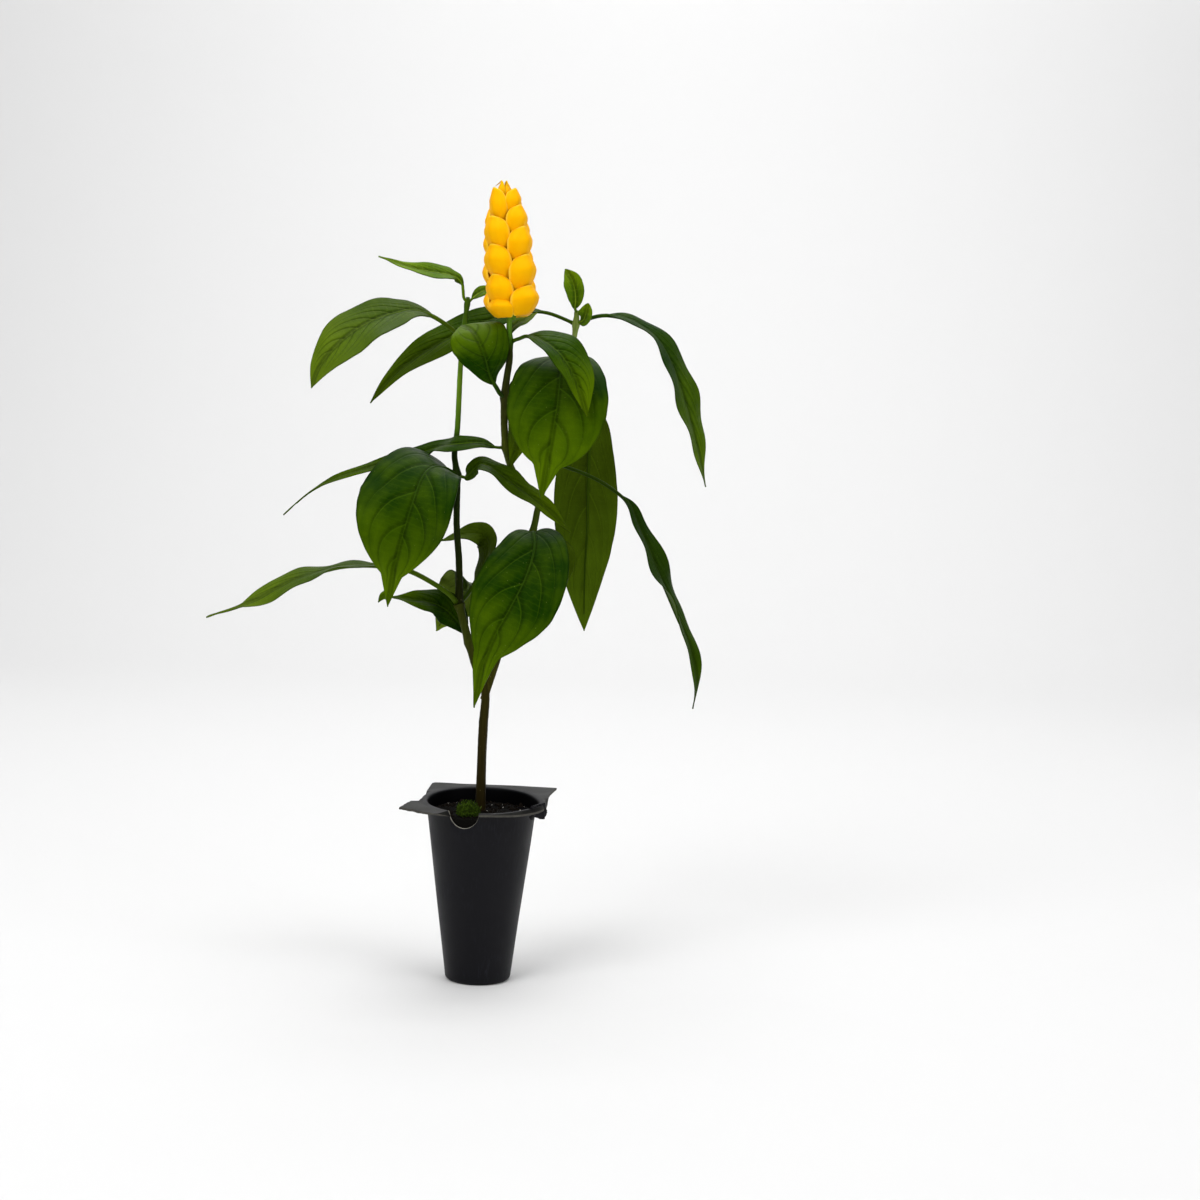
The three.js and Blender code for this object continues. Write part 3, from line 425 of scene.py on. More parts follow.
@dataclass(frozen=True)
class MouldedPot:
    """Thin vacuum-formed polystyrene: blue-black, satin, with fine upright scratches and some dust, and painted shade
    darkening its inside.
    """

    wall: str = "#08080d"
    scuffed: str = "#1c1d24"
    flange: str = "#090908"
    inside_shade: str = "#030304"
    dust: str = "#22221e"

    def build(self) -> Material:
        """Makes the plastic.

        Returns:
            The material.
        """
        surface, tree, shader, spot = new_surface("pot_polystyrene")
        # Scratches 0.7 mm apart and some 18 mm long, from being pulled out of its tray, and dusty patches of 25 mm
        drawn = add_node(tree, "Mapping", {"Vector": spot, "Scale": (1400.0, 1400.0, 55.0)})
        scratch = add_node(tree, "TexNoise", {"Vector": drawn, "Scale": 1.0, "Detail": 4.0, "Roughness": 0.6})
        dusty = add_node(tree, "TexNoise", {"Vector": spot, "Scale": 38.0, "Detail": 5.0, "Roughness": 0.6})
        mark = add_node(tree, "MapRange", {0: scratch, 1: 0.52, 2: 0.72, 4: 0.9})
        patch = add_node(tree, "MapRange", {0: dusty, 1: 0.42, 2: 0.66})
        both = add_node(tree, "Math", {0: mark, 1: patch}, operation="MULTIPLY")
        wall = add_node(tree, "Mix", {0: both, 6: linear(self.wall), 7: linear(self.scuffed)}, data_type="RGBA")
        # Dust and dried mix lie on the flange, which the mesh marks with its share of the way out
        out = add_node(tree, "Attribute", attribute_name="flange").outputs["Fac"]
        upper = add_node(tree, "MapRange", {0: out, 1: 0.01, 2: 0.12})
        grime = add_node(tree, "Mix", {0: patch, 6: linear(self.flange), 7: linear(self.dust)}, data_type="RGBA")
        skin = add_node(tree, "Mix", {0: upper, 6: wall, 7: grime}, data_type="RGBA")
        # The inside is painted darker than the scuffed outside, as painted shade in the pot's hollow, and it mirrors
        # less
        over = add_node(tree, "Attribute", attribute_name="crossed").outputs["Fac"]
        inside = add_node(tree, "MapRange", {0: over, 1: 0.75, 2: 0.95})
        with_inside_shade = add_node(tree, "Mix", {0: inside, 6: skin, 7: linear(self.inside_shade)}, data_type="RGBA")
        feed(tree, shader, {
            "Base Color": with_inside_shade, "IOR": 1.5,
            "Roughness": add_node(tree, "MapRange", {0: dusty, 1: 0.3, 2: 0.7, 3: 0.40, 4: 0.55}),
            "Normal": add_node(tree, "Bump", {"Strength": 0.12, "Distance": 0.0003, "Height": scratch}),
            "Specular IOR Level": add_node(tree, "MapRange", {0: inside, 3: 0.14, 4: 0.02})})
        return surface


@dataclass(frozen=True)
class TornEdge:
    """Broken plastic edge, dull and a little dusty; a cut one has whitened."""

    name: str = "pot_torn_edge"
    dark: str = "#1c1c19"
    pale: str = "#4c493f"

    def build(self) -> Material:
        """Makes the edge.

        Returns:
            The material.
        """
        surface, tree, shader, spot = new_surface(self.name)
        # Whitened specks about 2 mm apart
        speck = add_node(tree, "TexNoise", {"Vector": spot, "Scale": 420.0, "Detail": 2.0})
        skin = add_node(tree, "Mix", {0: speck, 6: linear(self.dark), 7: linear(self.pale)}, data_type="RGBA")
        feed(tree, shader, {"Base Color": skin, "Roughness": 0.7})
        return surface


@dataclass(frozen=True)
class Crumb:
    """A dry or moist granular stuff: potting mix, perlite, moss or bark, told apart by colour and grain."""

    name: str
    dark: str
    light: str
    grain: float
    rough: float = 0.95

    def build(self) -> Material:
        """Makes the stuff.

        Returns:
            The material.
        """
        surface, tree, shader, spot = new_surface(self.name)
        speck = add_node(tree, "TexNoise", {"Vector": spot, "Scale": 1 / (self.grain * MM), "Detail": 5.0,
                                            "Roughness": 0.7})
        share = add_node(tree, "MapRange", {0: speck, 1: 0.38, 2: 0.72})
        skin = add_node(tree, "Mix", {0: share, 6: linear(self.dark), 7: linear(self.light)}, data_type="RGBA")
        relief = add_node(tree, "Bump", {"Strength": 0.8, "Distance": 0.0008, "Height": speck})
        feed(tree, shader, {"Base Color": skin, "Normal": relief, "Roughness": self.rough, "Specular IOR Level": 0.08})
        return surface


class Spine:
    """A smooth centre line through given points, sampled in steps and walked by arc length."""

    STEPS = 40
    LOOK = 0.004

    def __init__(self, points: list[Vector]) -> None:
        """Lays the curve.

        Args:
            points: the points that it passes, in order.
        """
        ends = [points[0] * 2 - points[1], *points, points[-1] * 2 - points[-2]]
        self.places = [self._between(ends[i : i + 4], k / self.STEPS) for i in range(len(points) - 1)
                       for k in range(self.STEPS)] + [points[-1].copy()]
        self.reached = [0.0]
        for a, b in zip(self.places, self.places[1:]):
            self.reached.append(self.reached[-1] + (b - a).length)

    @staticmethod
    def _between(quad: list[Vector], t: float) -> Vector:
        """Finds a point between the middle two of four points, on a centripetal curve through them.

        Args:
            quad: the four points.
            t: the share of the way from the second to the third.

        Returns:
            The point.
        """
        gap = [max(1e-4, (quad[i + 1] - quad[i]).length ** 0.5) for i in range(3)]
        leave = ((quad[1] - quad[0]) / gap[0] - (quad[2] - quad[0]) / (gap[0] + gap[1])
                 + (quad[2] - quad[1]) / gap[1]) * gap[1]
        arrive = ((quad[2] - quad[1]) / gap[1] - (quad[3] - quad[1]) / (gap[1] + gap[2])
                  + (quad[3] - quad[2]) / gap[2]) * gap[1]
        square, cube = t * t, t * t * t
        return (quad[1] * (2 * cube - 3 * square + 1) + leave * (cube - 2 * square + t)
                + quad[2] * (3 * square - 2 * cube) + arrive * (cube - square))

    @property
    def length(self) -> float:
        """The curve's length."""
        return self.reached[-1]

    def at(self, share: float) -> Vector:
        """Walks along the curve.

        Args:
            share: the share of the curve's length.

        Returns:
            The point there.
        """
        goal = min(1.0, max(0.0, share)) * self.length
        low = min(bisect_right(self.reached, goal), len(self.reached) - 1) - 1
        span = self.reached[low + 1] - self.reached[low]
        return self.places[low].lerp(self.places[low + 1], (goal - self.reached[low]) / span if span else 0.0)

    def heading(self, share: float) -> Vector:
        """Returns the unit direction of travel there."""
        return (self.at(min(1.0, share + self.LOOK)) - self.at(max(0.0, share - self.LOOK))).normalized()


def finish_piece(mesh: Mesh, name: str, finishes: list[Material],
                 nodes: tuple[str, ...] = (), leaning: bool = False, smooth: bool = True) -> Piece:
    """Turns a bmesh in millimetres to a piece of the object.

    Args:
        mesh: the finished bmesh, which is freed.
        name: the piece's name.
        finishes: its materials, in order.
        nodes: CAD nodes that it stands for.
        leaning: True if it belongs to the leaning plant.
        smooth: True for smooth shading.

    Returns:
        The new object.
    """
    place = Matrix.Scale(MM, 4)
    if leaning:
        place = place @ Matrix.Translation((PLANT_SHIFT, 0, 0)) @ Matrix.Rotation(PLANT_LEAN, 4, "Y")
    bmesh.ops.transform(mesh, matrix=place, verts=mesh.verts)
    for face in mesh.faces:
        face.smooth = smooth
    data = bpy.data.meshes.new(name)
    mesh.to_mesh(data)
    mesh.free()
    for material in finishes:
        data.materials.append(material)
    piece = bpy.data.objects.new(name, data)
    bpy.context.scene.collection.objects.link(piece)
    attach(piece, "root")
    if nodes:
        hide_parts(*nodes)
    log.info("%s: %d faces", name, len(data.polygons))
    return piece


def pull(mesh: Mesh, edges: list[Edge]) -> tuple[list[Point], list[Edge]]:
    """Extrudes edges where they are.

    Args:
        mesh: the bmesh that holds them.
        edges: a ring or a chain.

    Returns:
        The new ring's or chain's points and edges.
    """
    step = bmesh.ops.extrude_edge_only(mesh, edges=edges)["geom"]
    verts = [g for g in step if isinstance(g, Point)]
    fresh = set(verts)
    return verts, [g for g in step if isinstance(g, Edge) and all(v in fresh for v in g.verts)]


def sweep(mesh: Mesh, line: Callable[[float], Vector], heading: Callable[[float], Vector],
          radius: Callable[[float, float], float], stations: int, sides: int) -> list[Face]:
    """Extrudes a ring along a line and closes both ends.

    Args:
        mesh: the bmesh that takes the tube.
        line: share of the way to the centre point.
        heading: share of the way to the direction of travel.
        radius: share of the way and angle round to the radius.
        stations: number of steps along.
        sides: number of points round.

    Returns:
        The new faces.
    """
    old = set(mesh.faces)
    ring = bmesh.ops.create_circle(mesh, segments=sides, radius=1.0, cap_ends=True)["verts"]
    first = set(ring)
    edges = [e for e in mesh.edges if all(v in first for v in e.verts)]
    across = heading(0.0).orthogonal().normalized()
    rings = [ring]
    for _ in range(stations):
        verts, edges = pull(mesh, edges)
        fresh = set(verts)
        upon = {next(e.other_vert(v) for e in v.link_edges if e.other_vert(v) not in fresh): v for v in verts}
        rings.append([upon[v] for v in rings[-1]])
    for i, row in enumerate(rings):
        share = i / stations
        ahead = heading(share)
        across = (across - ahead * across.dot(ahead)).normalized()
        side = ahead.cross(across)
        centre = line(share)
        for k, vert in enumerate(row):
            turn = 2 * math.pi * k / sides
            reach = radius(share, turn)
            vert.co = centre + across * (reach * math.cos(turn)) + side * (reach * math.sin(turn))
    bmesh.ops.contextual_create(mesh, geom=edges)
    tube = [f for f in mesh.faces if f not in old]
    bmesh.ops.recalc_face_normals(mesh, faces=tube)
    return tube


@dataclass(frozen=True)
class Node:
    """A joint of a shoot, where a pair of leaves grows, as a small swelling."""

    at: Triple
    radius: float


NODES = {
    "trunk": Node((-5.6, 0, 179.3), 2.6),
    "left1": Node((-10.8, 0, 199.5), 3.0),
    "left2": Node((-11.4, 0, 266.7), 2.5),
    "left3": Node((-7.9, 0, 338), 2.1),
    "leftTip": Node((-5.5, 0, 355), 1.6),
    "right1": Node((27.3, 7, 234.5), 2.6),
    "right2": Node((38.3, 9, 273), 2.5),
    "right3": Node((45.1, 11, 312.2), 2.4),
    "right4": Node((50.4, 12, 345), 2.1),
    "rightTip": Node((50.8, 12, 350.5), 1.4),
    "bloom1": Node((14.9, -7.5, 281.5), 2.4),
    "bloom2": Node((14.8, -16, 307.2), 2.3),
    "bloom3": Node((17.6, -20, 335.6), 2.1),
}


@dataclass(frozen=True)
class Leaf:
    """One leaf: its stalk and blade along one midrib line.

    path holds offsets from the node, and up the way that the upper face looks from stalk to tip. half is the half
    width, widest its place along the blade, base and sharp how the blade rounds off and narrows, and sides what each
    half measures against it. reach is the stalk's radius where it isn't the usual one. lobe is how far a heart-shaped
    base reaches back past the stalk. drip is the place where a narrow drip tip starts, with its half width there. fold
    raises both halves by that many degrees, curl turns the margins down again, and wave is the margin's height and
    count. quilted is how far the skin swells between side veins, ruffle how far the blade is uneven, and nibble how
    uneven its margin is, as a share of its width.
    """

    name: str
    node: str
    path: tuple[Triple, ...]
    up: tuple[Triple, ...]
    stalk: float
    half: float
    widest: float = 0.42
    sharp: float = 1.2
    base: float = 0.75
    sides: tuple[float, float] = (1.0, 1.0)
    lobe: float = 0.0
    drip: tuple[float, float] = (1.0, 0.0)
    fold: float = 14
    curl: float = 0.1
    wave: tuple[float, float] = (0.9, 3)
    veins: int = 7
    tone: LeafTone = LeafTone.RIPE
    thick: float = 0.55
    reach: float = 0.0
    quilted: float = 0.42
    ruffle: float = 0.35
    nibble: float = 0.018
    rows: int = 84
    columns: int = 30
    rib_end: float = 0.93

    def width(self, t: float) -> float:
        """Draws the blade's outline.

        Args:
            t: the share of the way along the blade.

        Returns:
            The half width there.
        """
        if t <= 0 or t >= 1:
            return 0.0
        start, drip = self.drip
        if t < self.widest:
            return self.half * math.sin(0.5 * math.pi * t / self.widest) ** self.base
        end = blend(start, 1.0, 0.35)
        gone = min(1.0, (t - self.widest) / (end - self.widest))
        plain = self.half * max(0.0, math.cos(0.5 * math.pi * gone)) ** self.sharp
        return max(plain, drip * (1 - t) / (1 - start) if t > start else 0.0)

    def facing(self, share: float) -> Vector:
        """Turns the leaf's face.

        Args:
            share: the share of the way from the node to the tip.

        Returns:
            The direction in which the upper face looks there.
        """
        place = min(1.0, max(0.0, share)) * (len(self.up) - 1)
        i = min(len(self.up) - 2, int(place))
        a, b = Vector(self.up[i]).normalized(), Vector(self.up[i + 1]).normalized()
        return a.lerp(b, ease(place - i)).normalized()

    def spine(self) -> Spine:
        """Lays the midrib line.

        Returns:
            The line from inside the stem's skin to the tip.
        """
        node = NODES[self.node]
        centre = Vector(node.at)
        points = [centre + Vector(self.path[0]).normalized() * node.radius * 0.55]
        points += [centre + Vector(p) for p in self.path if Vector(p).length > node.radius + 1.5]
        return Spine(points)

    def quilt(self, v: float, t: float) -> float:
        """Swells the skin between its side veins.

        Args:
            v: the place across, from -1 to 1.
            t: the place along, from 0 to 1.

        Returns:
            A share from 0 on a vein to 1 between two.
        """
        first, cubed = LeafBlade.lead
        phase = self.veins * (t - first * abs(v) - cubed * abs(v) ** 3) + (LeafBlade.stagger if v > 0 else 0.0)
        away = abs(phase - round(phase)) * 2
        return math.sin(0.5 * math.pi * away) * math.sin(math.pi * abs(v)) ** 0.7 * ease((0.9 - abs(v)) / 0.4)

    def _lay(self, mesh: Mesh, spine: Spine, start: float) -> None:
        """Lays the blade's sheet, with its maps and with its upper face up.

        Args:
            mesh: the empty bmesh that takes it.
            spine: the midrib line.
            start: the share of the line at which the blade starts.
        """
        shares, spans = (mesh.loops.layers.uv.new(name) for name in ("blade", "span"))
        grid = bmesh.ops.create_grid(mesh, x_segments=self.columns, y_segments=self.rows, size=0.5)["verts"]
        # Rows lie closer near both ends
        flat = {v: (2 * v.co.x, blend(v.co.y + 0.5, 0.5 + 0.5 * math.sin(math.pi * v.co.y), 0.6)) for v in grid}
        gaps = {}
        lift, rise = math.tan(math.radians(self.fold)), math.cos(math.radians(self.fold))
        seed = sum(ord(c) for c in self.name)
        for vert, (v, t) in flat.items():
            share = blend(start, 1.0, t)
            centre, ahead = spine.at(share), spine.heading(share)
            side = ahead.cross(self.facing(share)).normalized()
            half = max(0.25, self.width(t)) * self.sides[1 if v > 0 else 0]
            # The halves open from the stalk, a heart-shaped base reaches back, and the margin waves and is uneven
            open_up = ease(t / 0.12)
            back = self.lobe * math.sqrt(half / self.half) * max(0.0, 1 - t / 0.4) ** 2 * abs(v) ** 1.4
            fade = math.sin(math.pi * t) ** 0.6 if 0 < t < 1 else 0.0
            wave = self.wave[0] * math.sin(2 * math.pi * self.wave[1] * t + (1.9 if v > 0 else 0.0)) * v * v * fade
            ruffle = self.ruffle * noise.noise(Vector((seed, 7 * t, 2.4 * v))) * abs(v) * fade
            swell = self.quilted * self.quilt(v, t) * fade * min(1.0, half / 12)
            height = half * (lift * abs(v) - self.curl * v * v) * open_up + wave + ruffle + swell
            edge = 1 + self.nibble * noise.noise(Vector((seed + 3.0, 15 * t, 1.0 if v > 0 else -1.0))) * abs(v)
            gaps[vert] = v * half * blend(1.0, rise, open_up) * edge
            vert.co = centre + side * gaps[vert] + side.cross(ahead) * height - ahead * back
        for loop in (each for face in mesh.faces for each in face.loops):
            v, t = flat[loop.vert]
            loop[shares].uv = (0.5 * v + 0.5, t)
            loop[spans].uv = (gaps[loop.vert] / 100, t * (1 - start) * spine.length / 100)
        bmesh.ops.recalc_face_normals(mesh, faces=mesh.faces)
        mesh.faces.ensure_lookup_table()
        middle = mesh.faces[len(mesh.faces) // 2]
        middle.normal_update()
        t = sum(flat[v][1] for v in middle.verts) / len(middle.verts)
        if middle.normal.dot(self.facing(blend(start, 1.0, t))) < 0:
            bmesh.ops.reverse_faces(mesh, faces=mesh.faces)

    def build(self, skins: "LeafSkins") -> Piece:
        """Builds the leaf.

        Args:
            skins: the shared leaf materials.

        Returns:
            The piece.
        """
        spine = self.spine()
        start = self.stalk / spine.length
        mesh = bmesh.new()
        self._lay(mesh, spine, start)
        shell = bmesh.ops.solidify(mesh, geom=mesh.faces[:], thickness=self.thick)["geom"]
        for face in (g for g in shell if isinstance(g, Face)):
            face.material_index = 1
        # A broader leaf has a thicker stalk
        reach = self.reach or min(1.15, 0.55 + self.half * 0.04)
        end = blend(start, 1.0, self.rib_end)

        def centre_line(s: float) -> Vector:
            """Leads the stalk on under the blade as its midrib.

            Args:
                s: the share of the stalk and rib's length.

            Returns:
                The centre there.
            """
            hang = 0.35 * ease((s * end - start) / 0.05) + self.thick * 0.5
            ahead = spine.heading(s * end)
            return spine.at(s * end) - ahead.cross(self.facing(s * end)).normalized().cross(ahead) * hang

        def radius(s: float, _: float) -> float:
            """Returns the stalk's radius, thicker at its foot and narrowing under the blade."""
            return reach * blend(1.0, 0.22, max(0.0, s - start) / (1 - start)) * (1.25 if s < 0.02 else 1.0)

        for face in sweep(mesh, centre_line, lambda s: spine.heading(s * end), radius, stations=46, sides=10):
            face.material_index = 2
        piece = finish_piece(mesh, self.name, skins.of(self.tone, self.veins), (self.name,), leaning=True)
        return piece


class LeafSkins:
    """Hands out leaf materials, one set for each tone and vein count."""

    def __init__(self) -> None:
        """Starts with none made."""
        self.made: dict[tuple[LeafTone, int], list[Material]] = {}

    def of(self, tone: LeafTone, veins: int) -> list[Material]:
        """Finds or makes a leaf's materials.

        Args:
            tone: the leaf's colour set, which for SHADED is painted shade.
            veins: its count of side veins.

        Returns:
            The upper skin, the lower skin and the stalk's.
        """
        if (tone, veins) not in self.made:
            blade = LeafBlade(tone, veins)
            self.made[tone, veins] = [blade.build(False), blade.build(True), LeafStalk(tone).build()]
        return self.made[tone, veins]


LEAVES = (
    Leaf("leaf_left_top_a", "leftTip",
         ((-1.9, -1.7, 3), (-2.2, -2, 6.6), (-2.8, -2, 10.4), (-4.9, -2, 13), (-9, -3, 14.7), (-14, -3.5, 15.6),
          (-28, -4, 18.2), (-45, -6, 24.2)),
         ((-0.6, -0.5, 0.6), (-0.2, -0.6, 0.8), (-0.1, -0.6, 0.8)),
         stalk=8, half=6, widest=0.3, sharp=1.3, base=1.4, fold=20, wave=(0.6, 2), veins=8, tone=LeafTone.FRESH),
    Leaf("leaf_left_top_b", "leftTip", ((2.5, 2, 3), (6.5, 4, 6), (14.5, 8, 9.5)),
         ((0, -0.8, 0.5), (0, -0.8, 0.6)),
         stalk=3, half=3.2, widest=0.45, fold=15, curl=0, wave=(0, 1), veins=5, tone=LeafTone.FRESH, rows=40,
         columns=14),
    Leaf("leaf_left_upper", "left3",
         ((-10.8, -6, 8.3), (-18.8, -9, 12.4), (-26.2, -12, 13.6), (-32.7, -14, 12.2), (-41.2, -16, 9.6),
          (-52.2, -18, 3.9), (-63.2, -19, -5), (-71.4, -18, -14.6), (-76.8, -16, -26.2)),
         ((-0.1, -0.4, 0.9), (-0.1, -0.75, 0.65), (-0.3, -0.85, 0.4)),
         stalk=18, half=15.8, widest=0.54, sharp=1.05, sides=(0.98, 0.86), fold=16, curl=0.12, wave=(0.7, 3), veins=9,
         tone=LeafTone.BRIGHT),
    Leaf("leaf_left_middle_a", "left2",
         ((-3.3, -4, 2.6), (-6.6, -8, 4.4), (-10.6, -13, 4.8), (-14, -17, 3), (-17, -21, -1.6), (-20.8, -26, -12.6),
          (-26.2, -27, -29.9), (-30.6, -25, -45.9), (-34.6, -21, -66.8)),
         ((0, -0.5, 0.85), (-0.3, -0.9, 0.4), (0, -1, 0.1), (0, -1, 0.1)),
         stalk=7, half=25.5, widest=0.37, sharp=0.78, base=0.45, sides=(0.9, 1.17), lobe=9, drip=(0.78, 6.5), fold=9,
         curl=0.12, wave=(0.8, 3), veins=5, tone=LeafTone.DEEP),
    Leaf("leaf_left_middle_b", "left2",
         ((5, -4, -0.8), (9.3, -7, 3.4), (13.1, -10, 6.1), (17.3, -12, 5), (23, -13, 1.4), (29.7, -14, -3.4),
          (40.9, -12, -11.7), (49.6, -11, -18.9), (59.4, -10, -29.5)),
         ((-0.1, -0.9, 0.4), (0.2, -0.6, 0.8), (0.2, -0.7, 0.6), (0.1, -0.9, 0.4)),
         stalk=4, half=6.8, widest=0.42, base=0.45, sharp=1.0, fold=16, wave=(1.3, 3), veins=8,
         tone=LeafTone.OLIVE),
    Leaf("leaf_left_low_a", "left1",
         ((-4.8, -4, 5.7), (-13.4, -7, 12), (-25.8, -7, 18.2), (-43.1, -5, 20.8), (-60.5, -3, 20), (-74.8, -2, 16.3),
          (-82.6, -2, 13.9), (-93.2, -1, 9.1), (-105.5, 0, 2.3), (-118.1, 0, -2.3), (-132.3, 0, -7)),
         ((0, -0.3, 1), (0, -0.15, 1), (0, -0.2, 1), (-0.1, -0.7, 0.7), (0, -0.8, 0.6)),
         stalk=36, half=7.6, widest=0.55, sharp=0.7, base=0.7, drip=(0.74, 2), fold=12, wave=(0.9, 4), veins=9,
         tone=LeafTone.BRIGHT, reach=1.35),
    Leaf("leaf_left_low_b", "left1",
         ((4.8, 2.6, 5.8), (9.2, 6.4, 12.9), (12.7, 10, 19.5), (15.3, 12, 26.2), (15.2, 13, 31.4), (12.1, 13, 34.8),
          (6.3, 12.5, 35.8), (0.1, 12, 34.9), (-5.7, 11, 33.3), (-11.4, 10, 31.7)),
         ((-1, -0.2, 0.5), (-0.8, -0.6, 0.3), (-0.2, -0.8, 0.8)),
         stalk=13, half=7.6, widest=0.42, sharp=1.35, fold=15, veins=8, tone=LeafTone.OLIVE, reach=1.15),
    Leaf("leaf_left_low_c", "left1",
         ((3.4, 6, 4.6), (4.4, 12, 9.6), (2.6, 17, 10.4), (0.6, 20, 6), (-2.4, 21, 0.4), (-7.4, 21, -6.8),
          (-13.6, 21, -16.6)),
         ((0, 0.3, 1), (0, 1, 0.3), (0, 1, 0)),
         stalk=9, half=12.8, widest=0.42, sharp=1.1, base=0.6, fold=8, wave=(1.4, 4), veins=6, tone=LeafTone.BRIGHT),
    Leaf("leaf_trunk", "trunk",
         ((-4.8, 4, 8.3), (-11.1, 5, 15.6), (-17.3, 3, 19.6), (-23.4, 0, 21.6), (-30.4, -3, 23), (-38.1, -5, 24.3),
          (-43.7, -6, 24.9), (-46.9, -6, 21.7)),
         ((0.4, -0.8, 0.4), (-0.2, -0.8, 0.6), (-0.3, -0.7, 0.6)),
         stalk=4, half=8, widest=0.3, sharp=1.55, sides=(1.0, 1.2), drip=(0.86, 4), fold=12, veins=7,
         tone=LeafTone.DEEP),
    Leaf("leaf_right_top_a", "right4",
         ((-6.8, 1, 3.1), (-14.6, 2, 5.9), (-24, 2, 7), (-35.5, 2, 5.2), (-51.2, 1, -0.5), (-66.2, -1, -7.3),
          (-82, -3, -16.4), (-95.5, -5, -27), (-107.2, -6, -41)),
         ((0, -0.2, 1), (-0.1, -0.8, 0.6), (-0.3, -0.85, 0.5)),
         stalk=16, half=10, widest=0.42, sharp=1.0, fold=15, wave=(0.8, 3), veins=9),
    Leaf("leaf_right_top_b", "right4",
         ((6.3, 0, 2.8), (13.6, 0, 4.5), (24, 0, 3.7), (34.2, 0, -0.9), (42.4, 0, -7.4), (49.4, 1, -18.8),
          (56.2, 2, -37.4), (61.4, 2, -55.6), (68.3, 2, -85.2)),
         ((0, -0.3, 1), (0.5, -0.4, 0.8), (0.9, -0.55, 0.3), (0.9, -0.5, 0.1)),
         stalk=15, half=12.4, widest=0.54, sharp=1.2, fold=16, wave=(1.1, 4), veins=10, tone=LeafTone.DEEP),
    Leaf("leaf_right_tip_a", "rightTip",
         ((-0.8, -4, 2.6), (-0.5, -5, 6.2), (-0.9, -5, 11.8), (-2.6, -4, 17.5), (-6, -2, 22.8)),
         ((0, -1, 0), (0, -1, 0)),
         stalk=3, half=5.2, widest=0.55, sharp=0.9, fold=18, curl=0, wave=(0, 1), veins=7, tone=LeafTone.FRESH),
    Leaf("leaf_right_tip_b", "right4", ((4, -4, 2), (5.4, -5, 6), (6.3, -5, 10.6)),
         ((-0.6, -0.8, 0.3), (-0.4, -0.9, 0)),
         stalk=1.5, half=4.3, sharp=0.7, widest=0.45, fold=12, curl=0, wave=(0, 1), veins=5, tone=LeafTone.FRESH,
         rows=40, columns=14),
    Leaf("leaf_right_upper_a", "right3",
         ((-1.4, -6, 7.8), (-1.7, -14, 13.4), (-1.5, -25, 15.1), (-1.8, -36, 9.7), (-3.2, -44, -6.3),
          (-6.2, -47, -24.9), (-9.3, -47, -41.4), (-11.8, -46, -56.1)),
         ((0, 0, 1), (0, -0.8, 0.5), (0, -1, 0.1)),
         stalk=18, half=25.8, widest=0.48, sharp=0.48, base=0.7, drip=(0.74, 10), fold=9,
         curl=0.14, wave=(0.9, 3), veins=5, tone=LeafTone.DEEP),
    Leaf("leaf_right_upper_b", "right3",
         ((3.6, 6, -0.5), (9.9, 13, -6.9), (13, 18, -20.1), (11.9, 20, -36.1), (11.4, 21, -54.8), (11, 21, -76.2),
          (9.6, 20, -100.3), (9.2, 17, -130.1)),
         ((0, 0.3, 1), (0.1, 1, 0.2), (0, 1, 0)),
         stalk=12, half=17.2, widest=0.47, sharp=0.95, sides=(1.08, 0.93), fold=9, wave=(1.0, 4), veins=6,
         tone=LeafTone.OLIVE),
    Leaf("leaf_right_middle", "right2",
         ((14.7, -1, -5), (25.7, -1, -10.3), (36.7, -2, -18.1), (41, -3, -22.9), (44.4, -4, -31.6), (49.6, -5, -43),
          (54, -6, -54), (59.3, -7, -66.5), (65, -8, -80), (72, -8, -96.9), (74.8, -8, -109.5),
          (75.2, -7, -119.2), (73.6, -6, -129.4)),
         ((0, -0.6, 0.8), (0.5, -0.5, 0.7), (0.85, -0.6, 0.2), (0.9, -0.55, 0.1), (1, -0.1, 0.1), (0.75, -0.65, 0.1),
          (0.8, -0.6, 0.1)),
         stalk=38, half=9, fold=20, wave=(1.2, 4), veins=9, tone=LeafTone.SHADED),
    Leaf("leaf_right_low_a", "right1",
         ((1, -7, 2.6), (1.8, -13, -0.6), (1.2, -20, -8.4), (-3, -27, -20.8), (-9.7, -31, -33.8), (-17.6, -33, -48),
          (-24, -32, -63.6), (-29.2, -29, -86.8)),
         ((0, -0.3, 1), (0, -0.9, 0.4), (-0.1, -1, 0.1)),
         stalk=8, half=24, widest=0.36, sharp=0.85, base=0.48, sides=(0.96, 0.99), lobe=11, drip=(0.66, 8.6), fold=10,
         curl=0.12, wave=(0.9, 4), veins=5, tone=LeafTone.DEEP),
    Leaf("leaf_right_low_b", "right1", ((6, 7, -1.5), (11, 11, -5), (15, 14, -10), (17, 15, -17.5), (16, 14, -29)),
         ((0, 0.3, 1), (0.3, 1, 0.3), (0.1, 1, 0)),
         stalk=7, half=7, fold=12, wave=(0.6, 2), veins=6, tone=LeafTone.OLIVE),
    Leaf("leaf_bloom_low", "bloom1",
         ((-5.5, -1.5, 0), (-12.6, -2.5, 2.2), (-22.9, -2, 1.8), (-29, 1, 1.1), (-38.5, 12.8, -1.1),
          (-49.1, 15.5, -4.6), (-60.8, 16, -8), (-71.5, 15, -10.8), (-82.2, 14, -13.9), (-92.8, 13, -17.9),
          (-104.3, 12, -24.2), (-117.4, 10.5, -35.6)),
         ((0, -0.7, 0.7), (0, -0.7, 0.7), (-0.2, -0.4, 0.9)),
         stalk=4, half=5.8, widest=0.2, sharp=1.5, fold=14, wave=(0.6, 4), veins=10),
    Leaf("leaf_bloom_middle_a", "bloom2",
         ((-2.4, -3.5, 1.6), (-4.4, -6, 5), (-7.4, -8, 10.5), (-9.6, -10, 18.8), (-12.2, -10, 26.3), (-16.7, -5, 33.5),
          (-22.3, 3, 36.7)),
